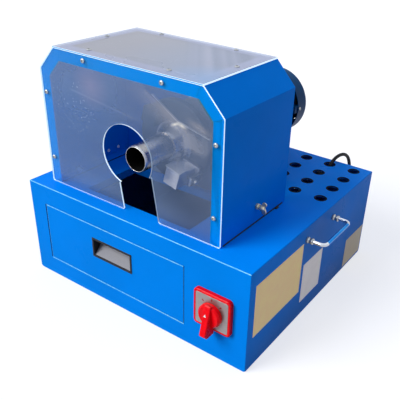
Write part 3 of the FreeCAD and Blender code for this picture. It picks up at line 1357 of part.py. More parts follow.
def make_cable_clamp():
    """Clamp on a strap under the deck, which takes the pull of the mains lead."""
    x, y, z = CABLE_ROUTE[0]
    start = FreeCAD.Vector(x, y, z)
    direction = (FreeCAD.Vector(*CABLE_ROUTE[1]) - start).normalize()
    side = value("ClampSide")
    strap = value("ClampStrap")
    foot = value("ClampFoot")
    back = y - value("ClampBack")
    top = value(f"{DECK} - SheetThickness")
    low = z - value("ClampDrop")
    block = Part.makeCylinder(side / 2, side, start - direction * side, direction)
    upright = Part.makeBox(side, strap, top - low, FreeCAD.Vector(x - side / 2, back - strap, low))
    flange = Part.makeBox(side, foot, strap, FreeCAD.Vector(x - side / 2, back - foot, top - strap))
    item = doc.addObject("Part::Feature", "cable_clamp")
    item.Shape = block.fuse([upright, flange]).removeSplitter()
    keep("cable_clamp", item)


make_deck()
make_front_panel()
make_side_panel("left_side_panel", -1)
make_side_panel("right_side_panel", 1)
make_rear_panel()
make_bottom_plate()
make_runner("left_runner", -1)
make_runner("right_runner", 1)
make_drawer()
make_switch()
make_handle("right", 1)
make_handle("left", -1)
make_gear_case()
make_case_cover()
make_bearing("front_bearing", f"{CASE_FRONT} + BossRise")
make_bearing("rear_bearing", "CaseRear - BearingLip")
make_gears()
make_spindle()
make_mandrel()
make_knife_guide()
make_knife_arm()
make_adjusting_screw()
make_balance()
make_motor()
make_terminal_box()
make_hood_wall("hood_left_wall", -1)
make_hood_wall("hood_right_wall", 1)
make_front_frame()
make_rear_frame()
make_windows()
make_hinge("front", "HingeFrontY")
make_hinge("rear", "HingeRearY")
make_latch()
make_cable()
make_cable_clamp()
doc.recompute()

failed = [item.Name for item in doc.Objects if "Invalid" in item.State or "Error" in item.State]
if failed:
    raise RuntimeError(f"objects that failed: {failed}")
for label, item in nodes.items():
    if item.Shape.isNull() or not item.Shape.isValid():
        raise RuntimeError(f"{label} has no valid shape")
for label, item in nodes.items():
    item.Shape.exportStep(f"parts/{label}.step")
print(len(nodes), "nodes")
for label, item in nodes.items():
    extent = item.Shape.BoundBox
    print(f"{label:24s} solids {len(item.Shape.Solids)} volume {item.Shape.Volume:10.0f}",
          f"x {extent.XMin:7.1f} {extent.XMax:7.1f} y {extent.YMin:7.1f} {extent.YMax:7.1f}",
          f"z {extent.ZMin:7.1f} {extent.ZMax:7.1f}")
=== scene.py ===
"""Looks of the hose skiving machine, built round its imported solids. Metres, Z up, front to -Y."""

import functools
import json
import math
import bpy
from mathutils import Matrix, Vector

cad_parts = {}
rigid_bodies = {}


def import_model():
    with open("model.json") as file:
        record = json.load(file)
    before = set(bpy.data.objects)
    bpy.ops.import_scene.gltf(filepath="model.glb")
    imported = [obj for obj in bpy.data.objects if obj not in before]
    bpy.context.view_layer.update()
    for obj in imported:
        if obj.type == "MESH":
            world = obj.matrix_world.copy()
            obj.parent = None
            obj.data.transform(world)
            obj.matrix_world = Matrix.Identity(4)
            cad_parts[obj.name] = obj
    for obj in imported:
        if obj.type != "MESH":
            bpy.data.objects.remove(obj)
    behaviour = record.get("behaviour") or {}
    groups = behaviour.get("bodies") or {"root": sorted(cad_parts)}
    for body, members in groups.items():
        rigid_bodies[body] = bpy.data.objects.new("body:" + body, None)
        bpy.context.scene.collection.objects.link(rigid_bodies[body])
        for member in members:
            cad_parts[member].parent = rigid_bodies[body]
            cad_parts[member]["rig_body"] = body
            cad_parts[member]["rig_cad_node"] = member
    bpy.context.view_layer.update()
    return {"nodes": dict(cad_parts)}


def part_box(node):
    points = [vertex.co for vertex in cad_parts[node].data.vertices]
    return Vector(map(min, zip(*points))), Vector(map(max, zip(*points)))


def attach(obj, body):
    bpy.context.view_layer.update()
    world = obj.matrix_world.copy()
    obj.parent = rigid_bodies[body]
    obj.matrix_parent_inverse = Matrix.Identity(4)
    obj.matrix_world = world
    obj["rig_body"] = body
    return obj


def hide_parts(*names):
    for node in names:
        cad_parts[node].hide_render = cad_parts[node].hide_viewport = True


bl_info = {
    "name": "Hose skiving machine",
    "version": (1, 0, 0),
    "blender": (4, 5, 0),
    "location": "3D View > Sidebar > Skiver",
    "description": "Dresses the packed solids of a bench hose skiving machine and sets its stage",
    "category": "Object",
}

import bpy
from mathutils import Vector

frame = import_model()

MM = 0.001
FRONT = Vector((0, -1, 0))
RIGHT = Vector((1, 0, 0))
LEFT = Vector((-1, 0, 0))
REAR = Vector((0, 1, 0))
UP = Vector((0, 0, 1))

PLATE_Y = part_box("front_window")[0].y
DECK_LOW, DECK_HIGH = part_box("deck_plate")
DECK = DECK_HIGH.z
CABINET_FRONT = DECK_LOW.y
CABINET_RIGHT = DECK_HIGH.x


# Settings


class PaintSettings(bpy.types.PropertyGroup):
    cabinet: bpy.props.FloatVectorProperty(
        name="Cabinet paint", description="Powder coat of the cabinet and hood",
        subtype="COLOR", size=3, min=0, max=1, default=(0.0, 0.245, 0.86))
    motor: bpy.props.FloatVectorProperty(
        name="Motor paint", description="Enamel of the motor", subtype="COLOR", size=3, min=0, max=1,
        default=(0.0, 0.06, 0.165))
    case: bpy.props.FloatVectorProperty(
        name="Gear case paint", description="Paint of the gear case", subtype="COLOR", size=3, min=0,
        max=1, default=(0.26, 0.29, 0.33))
    switch: bpy.props.FloatVectorProperty(
        name="Switch red", description="Moulded red of the bezel and knob", subtype="COLOR", size=3,
        min=0, max=1, default=(0.92, 0.0, 0.006))
    switch_face: bpy.props.FloatVectorProperty(
        name="Switch face", description="Satin grey face inside the bezel", subtype="COLOR", size=3,
        min=0, max=1, default=(0.36, 0.33, 0.32))


class PlateSettings(bpy.types.PropertyGroup):
    front_haze: bpy.props.FloatProperty(
        name="Front haze", description="How much the front plate hides", subtype="FACTOR", min=0, max=1,
        default=0.4)
    top_haze: bpy.props.FloatProperty(
        name="Top haze", description="How much the top plate hides", subtype="FACTOR", min=0, max=1,
        default=0.78)
    edge_bevel: bpy.props.FloatProperty(
        name="Plate edge", description="Bevel on the cut edges of the clear plates", unit="LENGTH",
        min=0, max=1 * MM, default=0.75 * MM)


class SheetSettings(bpy.types.PropertyGroup):
    edge: bpy.props.FloatProperty(
        name="Sheet edge", description="Rounding of the sheet metal's cut edges", unit="LENGTH", min=0,
        max=1 * MM, default=0.5 * MM)
    screw_radius: bpy.props.FloatProperty(
        name="Screw head", description="Radius of the plates' screw heads", unit="LENGTH",
        min=1 * MM, max=8 * MM, default=4.2 * MM)


class LeadSettings(bpy.types.PropertyGroup):
    diameter: bpy.props.FloatProperty(
        name="Lead diameter", description="Outside diameter of the mains lead", unit="LENGTH",
        min=4 * MM, max=12 * MM, default=7.5 * MM)


class StageSettings(bpy.types.PropertyGroup):
    sun: bpy.props.FloatProperty(
        name="Key light", description="Strength of the main light", min=0, max=10, default=2.8)
    overhead: bpy.props.FloatProperty(
        name="Overhead light", description="Strength of the soft light from above", min=0, max=10,
        default=0.85)
    ambient: bpy.props.FloatProperty(
        name="Ambient", description="Strength of the light from all round", subtype="FACTOR", min=0,
        max=2, default=0.3)
    inside: bpy.props.FloatProperty(
        name="Light inside the hood", description="Light that the clear plates let in, in watts", min=0,
        max=2, default=0.11)


# Shapes


def deselect_all():
    if bpy.context.object and bpy.context.object.mode != "OBJECT":
        bpy.ops.object.mode_set(mode="OBJECT")
    bpy.ops.object.select_all(action="DESELECT")


def activate(piece):
    deselect_all()
    piece.select_set(True)
    bpy.context.view_layer.objects.active = piece


def pick(piece, kind, test):
    """Leaves the piece in edit mode with the vertices, edges or faces that the test picks selected."""
    activate(piece)
    mesh = piece.data
    for parts in (mesh.vertices, mesh.edges, mesh.polygons):
        parts.foreach_set("select", [False] * len(parts))
    if kind == "VERT":
        for vertex in mesh.vertices:
            vertex.select = test(vertex)
    elif kind == "EDGE":
        for edge in mesh.edges:
            ends = [mesh.vertices[number].co for number in edge.vertices]
            edge.select = test(*ends)
    else:
        for face in mesh.polygons:
            face.select = test(face)
    bpy.context.tool_settings.mesh_select_mode = (kind == "VERT", kind == "EDGE", kind == "FACE")
    bpy.ops.object.mode_set(mode="EDIT")


def settle(piece):
    """Closes the editing: normals outwards and the place applied to the mesh."""
    activate(piece)
    bpy.ops.object.mode_set(mode="EDIT")
    bpy.ops.mesh.select_all(action="SELECT")
    bpy.ops.mesh.remove_doubles(threshold=0.000001)
    bpy.ops.mesh.normals_make_consistent(inside=False)
    bpy.ops.object.mode_set(mode="OBJECT")
    bpy.ops.object.transform_apply(location=True, rotation=True, scale=True)
    return piece


def apply_modifier(piece, kind, **values):
    activate(piece)
    modifier = piece.modifiers.new(kind.title(), kind)
    for name, value in values.items():
        setattr(modifier, name, value)
    bpy.ops.object.modifier_apply(modifier=modifier.name)


def soften(piece, width, segments=2, smooth=40):
    """Rounds the piece's sharp edges and shades it so that flat faces stay flat."""
    if width > 0:
        apply_modifier(piece, "BEVEL", width=width, segments=segments, limit_method="ANGLE",
                       angle_limit=math.radians(28), miter_outer="MITER_ARC")
    activate(piece)
    bpy.ops.object.shade_smooth_by_angle(angle=math.radians(smooth))
    apply_modifier(piece, "WEIGHTED_NORMAL", keep_sharp=True)
    return piece


def give(piece, name, body, material, replaces=()):
    """Names the piece, paints it all over and makes it ride on its body."""
    piece.name = name
    piece.data.name = name
    if material is not None:
        piece.data.materials.clear()
        piece.data.materials.append(material)
    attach(piece, body)
    if replaces:
        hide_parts(*replaces)
    return piece


def paint(material, *nodes):
    """Gives solids whose shape is right their finish."""
    for node in nodes:
        for place in frame["nodes"][node].material_slots:
            place.material = material


def dressed(node, width, segments=2, corners=None):
    """A merged copy of a solid with its cut edges rounded, and its corners first where they are named."""
    source = frame["nodes"][node]
    piece = source.copy()
    piece.data = source.data.copy()
    piece.parent = None
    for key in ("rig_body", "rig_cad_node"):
        if key in piece:
            del piece[key]
    bpy.context.scene.collection.objects.link(piece)
    activate(piece)
    if piece.data.has_custom_normals:
        bpy.ops.mesh.customdata_custom_splitnormals_clear()
    bpy.ops.object.mode_set(mode="EDIT")
    bpy.ops.mesh.select_all(action="SELECT")
    bpy.ops.mesh.remove_doubles(threshold=0.000002)
    bpy.ops.mesh.dissolve_limited(angle_limit=math.radians(0.5))
    bpy.ops.object.mode_set(mode="OBJECT")
    if corners:
        radius, test = corners
        pick(piece, "EDGE", test)
        bpy.ops.mesh.bevel(offset=radius, segments=5, affect="EDGES")
        bpy.ops.object.mode_set(mode="OBJECT")
    return soften(piece, width, segments)


def dress(node, body, material, width, segments=2, corners=None):
    return give(dressed(node, width, segments, corners), f"{node}_dressed", body, material, (node,))


def recolour(piece, material, test):
    """Gives the faces that the test picks a second finish."""
    piece.data.materials.append(material)
    index = len(piece.data.materials) - 1
    for face in piece.data.polygons:
        if test(face):
            face.material_index = index


def turned(centre, axis, stations, sides=64, hollow=False):
    """A turned piece: a circle extruded and resized through stations of (place on the axis, radius)."""
    deselect_all()
    axis = Vector(axis).normalized()
    centre = Vector(centre)
    along, radius = stations[0]
    bpy.ops.mesh.primitive_circle_add(
        vertices=sides, radius=radius, fill_type="NOTHING" if hollow else "NGON",
        location=centre + axis * along, rotation=axis.to_track_quat("Z", "Y").to_euler())
    piece = bpy.context.object
    bpy.ops.object.mode_set(mode="EDIT")
    bpy.ops.mesh.select_all(action="SELECT")
    for next_along, next_radius in stations[1:] + (stations[:1] if hollow else []):
        bpy.ops.mesh.extrude_region_move(TRANSFORM_OT_translate={"value": axis * (next_along - along)})
        scale = next_radius / radius
        bpy.ops.transform.resize(value=(scale, scale, scale), center_override=centre + axis * next_along)
        along, radius = next_along, next_radius
    bpy.ops.object.mode_set(mode="OBJECT")
    return settle(piece)


def in_metres(stations):
    """The stations of a turned piece, given in millimetres."""
    return [(along * MM, radius * MM) for along, radius in stations]


def block(low, high, width=0.0, segments=2):
    """A box between two corners with its edges rounded."""
    deselect_all()
    low, high = Vector(low), Vector(high)
    bpy.ops.mesh.primitive_cube_add(size=1, location=(low + high) / 2)
    piece = bpy.context.object
    bpy.ops.transform.resize(value=high - low)
    settle(piece)
    if width > 0:
        soften(piece, width, segments)
    return piece


def sheet_between(low, high, normal, corner=0.0):
    """A thin plate, rounded at its corners, whose faces look along the normal."""
    piece = block(low, high)
    if corner > 0:
        axis = Vector(normal)

        def across(first, second):
            return abs((second - first).normalized().dot(axis)) > 0.99

        pick(piece, "EDGE", across)
        bpy.ops.mesh.bevel(offset=corner, segments=5, affect="EDGES")
        bpy.ops.object.mode_set(mode="OBJECT")
    return piece


def copies(piece, name, places, body):
    """Copies a finished piece, each with its own mesh, by offsets from where it stands."""
    made = []
    for number, offset in enumerate(places, 1):
        twin = piece.copy()
        twin.data = piece.data.copy()
        bpy.context.scene.collection.objects.link(twin)
        activate(twin)
        twin.location = offset
        bpy.ops.object.transform_apply(location=True, rotation=False, scale=False)
        twin.name = f"{name}_{number}"
        twin.data.name = twin.name
        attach(twin, body)
        made.append(twin)
    bpy.data.objects.remove(piece)
    return made


def turn(piece, angle, axis, centre):
    """Turns the piece's mesh about a line through the centre."""
    activate(piece)
    bpy.ops.object.mode_set(mode="EDIT")
    bpy.ops.mesh.select_all(action="SELECT")
    bpy.ops.transform.rotate(value=-angle, orient_axis=axis, center_override=centre)
    bpy.ops.object.mode_set(mode="OBJECT")


def join(pieces):
    activate(pieces[0])
    for piece in pieces[1:]:
        piece.select_set(True)
    bpy.ops.object.join()
    return pieces[0]


# Finishes


class Finish:
    """A procedural material on a Principled shader, with short names for its nodes."""

    def __init__(self, name, roughness=0.5, metallic=0.0, **sockets):
        self.material = bpy.data.materials.new(name)
        self.material.use_nodes = True
        self.tree = self.material.node_tree
        self.shader = self.tree.nodes["Principled BSDF"]
        self.shader.inputs["Roughness"].default_value = roughness
        self.shader.inputs["Metallic"].default_value = metallic
        for socket, value in sockets.items():
            self.shader.inputs[socket.replace("_", " ")].default_value = value
        self.place = self.tree.nodes.new("ShaderNodeTexCoord").outputs["Object"]

    def node(self, kind, **inputs):
        made = self.tree.nodes.new(kind)
        for name, value in inputs.items():
            socket = made.inputs[name]
            if isinstance(value, bpy.types.NodeSocket):
                self.tree.links.new(value, socket)
            else:
                socket.default_value = value
        return made

    def link(self, output, socket):
        self.tree.links.new(output, self.shader.inputs[socket])

    def stretched(self, scale, turn=(0, 0, 0)):
        return self.node("ShaderNodeMapping", Vector=self.place, Scale=scale, Rotation=turn).outputs["Vector"]

    def noise(self, scale, detail=3.0, roughness=0.5, vector=None, distortion=0.0):
        made = self.node("ShaderNodeTexNoise", Vector=vector or self.place, Scale=scale, Detail=detail,
                         Roughness=roughness, Distortion=distortion)
        return made.outputs["Fac"]

    def ramp(self, factor, *stops):
        """Maps a factor through stops of (place, grey or colour)."""
        made = self.node("ShaderNodeValToRGB", Fac=factor)
        row = made.color_ramp.elements
        while len(row) < len(stops):
            row.new(0.5)
        for element, (place, tone) in zip(row, stops):
            element.position = place
            colour = (tone, tone, tone) if isinstance(tone, (int, float)) else tone
            element.color = (*colour, 1)
        return made.outputs["Color"]

    def range(self, factor, low, high, start=0.0, end=1.0):
        """Maps a factor that runs from start to end on to low to high, and holds it there beyond them."""
        made = self.tree.nodes.new("ShaderNodeMapRange")
        self.tree.links.new(factor, made.inputs["Value"])
        for name, value in (("From Min", start), ("From Max", end), ("To Min", low), ("To Max", high)):
            made.inputs[name].default_value = value
        return made.outputs["Result"]

    def math(self, operation, first, second):
        """Works on two numbers or number sockets. A sum or difference is held between 0 and 1."""
        made = self.tree.nodes.new("ShaderNodeMath")
        made.operation = operation
        made.use_clamp = operation in ("ADD", "SUBTRACT")
        for socket, value in zip(made.inputs, (first, second)):
            if isinstance(value, bpy.types.NodeSocket):
                self.tree.links.new(value, socket)
            else:
                socket.default_value = value
        return made.outputs["Value"]

    def times(self, first, second):
        return self.math("MULTIPLY", first, second)

    def plus(self, first, second):
        return self.math("ADD", first, second)

    def minus(self, first, second):
        return self.math("SUBTRACT", first, second)

    def product(self, parts):
        """Several factors multiplied."""
        return functools.reduce(self.times, parts)

    def blend(self, factor, first, second):
        """Mixes two colours or colour sockets."""
        made = self.tree.nodes.new("ShaderNodeMix")
        made.data_type = "RGBA"
        for index, value in ((0, factor), (6, first), (7, second)):
            if isinstance(value, bpy.types.NodeSocket):
                self.tree.links.new(value, made.inputs[index])
            elif index == 0:
                made.inputs[index].default_value = value
            else:
                made.inputs[index].default_value = (*value, 1)
        return made.outputs[2]

    def along(self, x=0.0, y=0.0, z=0.0, offset=0.0):
        """A number that grows along a direction on the object, in metres."""
        made = self.node("ShaderNodeVectorMath")
        made.operation = "DOT_PRODUCT"
        self.tree.links.new(self.place, made.inputs[0])
        made.inputs[1].default_value = (x, y, z)
        return self.shifted(made.outputs["Value"], -offset)

    def shifted(self, number, step):
        """The number plus a step, not held between any bounds."""
        made = self.tree.nodes.new("ShaderNodeMath")
        made.operation = "ADD"
        self.tree.links.new(number, made.inputs[0])
        made.inputs[1].default_value = step
        return made.outputs["Value"]

    def stroke(self, start, end, width):
        """1 on a line between two places (x, z) of an upright plate, fading to 0 at the width."""
        first, last = Vector((start[0], 0, start[1])), Vector((end[0], 0, end[1]))
        way = (last - first).normalized()
        length = (last - first).length
        across = Vector((-way.z, 0, way.x))
        aside = self.math("ABSOLUTE", self.along(x=across.x, z=across.z, offset=across.dot(first)), 0.0)
        run = self.along(x=way.x, z=way.z, offset=way.dot(first))
        ends = self.times(self.range(run, 0.0, 1.0, -width, 2 * width),
                          self.range(run, 1.0, 0.0, length - 2 * width, length + width))
        return self.times(ends, self.range(aside, 1.0, 0.0, 0.0, width))

    def strokes(self, lines):
        """Several strokes in one, each given by its start, end and width."""
        return functools.reduce(self.plus, [self.stroke(*line) for line in lines])

    def spot(self, centre, radius):
        """1 at a place on the object, fading to 0 at the radius."""
        made = self.node("ShaderNodeVectorMath")
        made.operation = "DISTANCE"
        self.tree.links.new(self.place, made.inputs[0])
        made.inputs[1].default_value = centre
        return self.range(made.outputs["Value"], 1.0, 0.0, 0.0, radius)

    def bump(self, height, strength, distance):
        made = self.node("ShaderNodeBump", Height=height, Strength=strength, Distance=distance)
        self.link(made.outputs["Normal"], "Normal")


def shade(colour, factor):
    """A colour made darker or lighter."""
    return tuple(min(1.0, part * factor) for part in colour)


finishes = {}

# The front frame's flange behind the plate: its width, and the run of the cut corner down and across.
FLANGE_WIDTH = 22 * MM
FLANGE_BEVEL = Vector((44.8, 0, 42.2)) * MM

# How far the border of the haze leans through the plate's thickness, so its two faces show one border.
BORDER_LEAN = Vector((0.72, 0, 0.55))

# Patches on the front plate, each a place (x, z) and the radius at which it has faded, in metres. Each
# wiped patch also has the haze that it loses.
SPECKLED_PATCH = ((-0.139, 0.364), 0.07)
# The band's patch is where the painted reflection of the pale band shows.
BAND_PATCH = ((0.07, 0.41), 0.09)
SMUDGED_PATCH = ((0.12, 0.352), 0.06)
# The glowing patch is painted light.
PAINTED_GLOW_PATCH = ((-0.097, 0.42), 0.045)
WIPED_PATCHES = ((((0.03, 0.325), 0.09), 0.14), (((0.11, 0.255), 0.07), 0.12), (((0.081, 0.302), 0.038), 0.2))

# The pale diagonal band, a painted reflection: its normal (x, z), how far along it the band ends, and its
# soft and sharp sides.
BAND_NORMAL = (0.469, 0.883)
BAND_OFFSET = 0.399
BAND_SOFT_SIDE = 0.035
BAND_SHARP_SIDE = 0.004

# Lines on the front plate, each from one place (x, z) to another, with its width, in metres.
# The two pale lines along the band's lower edge are painted reflection.
BAND_EDGE_REFLECTION = (((0.0394, 0.436), (0.091, 0.4033), 0.0007), ((0.091, 0.4033), (0.1536, 0.389), 0.0007))
WIPE = ((-0.148, 0.404), (0.011, 0.384), 0.003)
STREAK = ((0.112, 0.41), (0.156, 0.395), 0.009)
# The collar's highlight behind the plate is painted on it as a painted highlight.
PAINTED_HIGHLIGHT_STROKES = (((0.0805, 0.3945), (0.0925, 0.4), 0.0035), ((0.0925, 0.4), (0.1085, 0.3965), 0.0045))
MITRES = (((0.1275, 0.4505), (0.1348, 0.4705), 0.0009), ((0.1575, 0.4185), (0.178, 0.4265), 0.0009))

# How much haze each feature adds to the front plate, and how far and to what colour it tints the plate.
FEATURE_HAZE = {"band": 0.14, "smudges": 0.2, "glow": 0.08, "streak": 0.05, "painted_highlight": 0.4, "lines": 0.8}
FEATURE_TINTS = {
    "glow": (0.55, (0.4, 0.37, 0.52)), "band": (0.65, (0.5, 0.49, 0.53)),
    "smudges": (0.7, (0.46, 0.48, 0.54)), "streak": (0.5, (0.6, 0.57, 0.58)),
    "lines": (1.0, (0.9, 0.92, 0.96)), "painted_highlight": (1.0, (1.0, 0.95, 0.82)),
}

# The top plate's streaks, painted reflections, run across this direction (x, y), and its front right corner
# is bluer.
TOP_REFLECTION_WAY = (0.795, 0.607)
TOP_CORNER = (0.13, -0.19)
TOP_CORNER_RADIUS = 0.085

# Where the right side panel gets a grey haze as painted reflection, and how far from there it fades.
SIDE_REFLECTION_PLACE = (CABINET_RIGHT, 0.0, 0.165)
SIDE_REFLECTION_RADIUS = 0.13


def finish(name):
    """The finish of that name, made once."""
    if name not in finishes:
        made = make_paper(name, *PAPERS[name]) if name in PAPERS else MAKERS[name]()
        finishes[name] = made.material
    return finishes[name]


def make_powder_coat(name="blue_powder_coat", painted_light=None):
    """Gloss powder coat: a fine orange peel, faint handling marks and a little dust."""
    colour = tuple(bpy.context.scene.skiver_paint.cabinet)
    made = Finish(name, roughness=0.28, Specular_IOR_Level=0.015)
    cloud = made.noise(7.0, 4.0, 0.55)
    tone = made.ramp(cloud, (0.3, shade(colour, 0.94)), (0.5, colour), (0.72, shade(colour, 1.05)))
    # A caller may lay painted light or shade over the colour here.
    if painted_light:
        tone = painted_light(made, tone)
    dust = made.ramp(made.noise(260.0, 6.0, 0.7), (0.69, 0.0), (0.76, 0.25))
    made.link(made.blend(dust, tone, (0.0, 0.36, 0.88)), "Base Color")
    smears = made.noise(16.0, 5.0, 0.62, distortion=0.4)
    made.link(made.range(smears, 0.24, 0.44, 0.3, 0.7), "Roughness")
    made.bump(made.noise(950.0, 2.0, 0.5), 0.12, 0.15 * MM)
    return made


def make_side_coat():
    """The same coat on the side with the labels, with a grey haze round the handle as painted reflection and
    darkening towards its foot as painted shade.
    """
    def painted_light(made, tone):
        # Painted shade: darker towards the foot and a little towards the rear.
        painted_shade = made.range(made.along(y=-0.2, z=1.0), 0.55, 0.0, -0.02, 0.12)
        # Painted reflection: a grey haze round the handle.
        painted_reflection = made.range(made.spot(SIDE_REFLECTION_PLACE, SIDE_REFLECTION_RADIUS), 0.0, 0.35)
        tone = made.blend(painted_shade, tone, (0.0, 0.1, 0.32))
        return made.blend(painted_reflection, tone, (0.14, 0.2, 0.32))

    return make_powder_coat("side_powder_coat_painted_light", painted_light)


def make_dusty_coat_painted_shade():
    """Powder coat darkened to 0.3 to 0.5 of its colour as painted shade, under the fine black rubber dust
    that collects in the drawer.
    """
    colour = tuple(bpy.context.scene.skiver_paint.cabinet)
    made = Finish("dusty_coat_painted_shade", roughness=0.6, Specular_IOR_Level=0.1)
    drift = made.noise(8.0, 3.0, 0.5)
    grit = made.noise(380.0, 5.0, 0.75)
    # Painted shade: the coat at 0.3 to 0.5 of its colour.
    tone = made.ramp(drift, (0.3, shade(colour, 0.3)), (0.7, shade(colour, 0.5)))
    made.link(made.blend(made.ramp(grit, (0.48, 0.1), (0.6, 0.8)), tone, (0.004, 0.007, 0.014)), "Base Color")
    made.link(made.range(grit, 0.5, 0.75, 0.3, 0.7), "Roughness")
    made.bump(grit, 0.3, 0.3 * MM)
    return made


def make_painted_edge_highlight():
    """Paler coat on a fold or cut edge: a painted highlight where the edge catches the light."""
    made = Finish("painted_edge_highlight", roughness=0.3, Specular_IOR_Level=0.15)
    painted_light = made.noise(140.0, 4.0, 0.6)
    made.link(made.ramp(painted_light, (0.35, (0.12, 0.6, 0.98)), (0.65, (0.32, 0.84, 1.0))), "Base Color")
    made.link(made.range(painted_light, 0.24, 0.4, 0.3, 0.7), "Roughness")
    return made


def on_front_plate(made, place, radius):
    """1 at a place (x, z) on the front plate, fading to 0 at the radius."""
    return made.spot((place[0], PLATE_Y, place[1]), radius)


def front_plate_features(made):
    """The streaks, patches and lines of the front plate, each as a factor. The band and the lines along its
    lower edge are painted reflection, the glow is painted light and the highlight is a painted highlight.
    """
    across = made.along(x=BAND_NORMAL[0], z=BAND_NORMAL[1], offset=BAND_OFFSET)
    band = made.times(made.range(across, 0.0, 1.0, -BAND_SOFT_SIDE, 0.0),
                      made.range(across, 1.0, 0.0, 0.0, BAND_SHARP_SIDE))
    blotches = made.range(made.noise(26.0, 3.0, 0.6, distortion=1.2), 0.0, 1.0, 0.42, 0.62)
    return {
        "band": made.times(band, on_front_plate(made, *BAND_PATCH)),
        "smudges": made.times(on_front_plate(made, *SMUDGED_PATCH), blotches),
        "glow": on_front_plate(made, *PAINTED_GLOW_PATCH),
        "streak": made.stroke(*STREAK),
        "painted_highlight": made.strokes(PAINTED_HIGHLIGHT_STROKES),
        "lines": made.plus(made.times(made.strokes(BAND_EDGE_REFLECTION), 0.5), made.times(made.stroke(*WIPE), 0.06)),
    }


def front_plate_marks(made, fine, specks):
    """Specks, thickest in a patch at the left, and fine wiping marks, which thin out in places."""
    patch = on_front_plate(made, *SPECKLED_PATCH)
    sparse = made.range(made.noise(14.0, 2.0, 0.5), 0.0, 1.0, 0.55, 0.65)
    thick = made.plus(made.range(patch, 0.0, 0.8, 0.1, 0.7), made.times(sparse, 0.35))
    wiping = made.times(made.ramp(fine, (0.7, 0.0), (0.76, 0.22)), sparse)
    return made.plus(made.times(specks, thick), wiping)


def front_plate_haze(made, cloud, features):
    """How much the open part of the front plate hides."""
    wiped = made.noise(3.2, 4.0, 0.6, vector=made.stretched((1.0, 1.0, 4.5), (0, math.radians(14), 0)))
    base = made.range(made.along(x=1.0), haze_share(1.05), haze_share(0.95), -0.2, 0.15)
    veil = made.plus(made.range(cloud, -0.05, 0.06, 0.3, 0.7), made.range(wiped, -0.06, 0.08, 0.35, 0.65))
    haze = made.plus(veil, base)
    for patch, strength in WIPED_PATCHES:
        haze = made.minus(haze, made.times(on_front_plate(made, *patch), strength))
    haze = made.minus(haze, made.range(made.along(z=1.0), 0.16, 0.0, 0.206, 0.226))
    for name, strength in FEATURE_HAZE.items():
        haze = made.plus(haze, made.times(features[name], strength))
    return haze


def make_front_plate():
    """Clear plate gone hazy: dust, wiped streaks and specks over a see-through base. Its tint is bluer and
    paler at the left as painted reflection, and a cyan tint over the flange is painted light.
    """
    made = Finish("hazy_front_plate", roughness=0.22, IOR=1.49, Specular_IOR_Level=0.28)
    side = made.along(x=1.0)
    cloud = made.noise(5.5, 3.0, 0.5, distortion=0.8)
    fine = made.noise(90.0, 2.0, 0.5, vector=made.stretched((1.0, 1.0, 26.0), (0, math.radians(28), 0)))
    specks = made.ramp(made.noise(300.0, 3.0, 0.6), (0.66, 0.0), (0.7, 1.0))
    marks = front_plate_marks(made, fine, specks)
    features = front_plate_features(made)
    inner = inside_flange(made)
    mitres = made.strokes(MITRES)
    # Painted light: over the flange the plate adds a cyan tint, stronger at the left, that brightens the
    # paint behind it.
    rim = made.times(made.minus(1.0, inner), made.range(side, 0.19, 0.07, -0.2, 0.13))
    rim = made.plus(rim, made.times(mitres, 0.4))
    haze = made.plus(made.times(front_plate_haze(made, cloud, features), inner), rim)
    made.link(made.plus(haze, made.times(marks, 0.4)), "Alpha")
    # Painted reflection: the tint is bluer and paler at the left. It is also paler towards the top.
    hue = made.blend(made.range(side, 0.0, 1.0, -0.16, 0.13), (0.165, 0.29, 0.53), (0.165, 0.235, 0.38))
    hue = made.blend(made.range(made.along(z=1.0), 0.0, 0.6, 0.36, 0.45), hue, (0.27, 0.37, 0.53))
    for name, (share, tint) in FEATURE_TINTS.items():
        hue = made.blend(made.times(features[name], share), hue, tint)
    rim_painted_light = made.blend(made.range(side, 0.0, 1.0, -0.2, 0.13), (0.22, 0.78, 1.0), (0.0, 1.0, 1.0))
    hue = made.blend(inner, rim_painted_light, hue)
    hue = made.blend(mitres, hue, (0.0, 0.16, 0.5))
    made.link(made.blend(marks, hue, (0.85, 0.93, 1.0)), "Base Color")
    made.link(made.range(cloud, 0.14, 0.34, 0.3, 0.7), "Roughness")
    made.bump(made.plus(fine, made.times(specks, 0.4)), 0.08, 0.05 * MM)
    return made


def inside_flange(made):
    """1 where the front plate spans the open part of its frame, and 0 where it lies on the flange."""
    low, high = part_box("front_window")
    cut = FLANGE_BEVEL.normalized()
    shoulder = high.z - FLANGE_BEVEL.x
    sides = (
        (RIGHT, high), (LEFT, low), (UP, high),
        (Vector((cut.x, 0, cut.z)), Vector((high.x, 0, shoulder))),
        (Vector((-cut.x, 0, cut.z)), Vector((low.x, 0, shoulder))),
    )
    parts = []
    for way, corner in sides:
        edge = way.dot(corner) - FLANGE_WIDTH
        slant = BORDER_LEAN.dot(way)
        reach = made.along(x=way.x, y=slant, z=way.z, offset=slant * high.y)
        parts.append(made.range(reach, 1.0, 0.0, edge - 0.15 * MM, edge + 0.15 * MM))
    return made.product(parts)


def haze_share(share):
    """A share of the haze that the settings give the front plate."""
    return bpy.context.scene.skiver_plates.front_haze * share


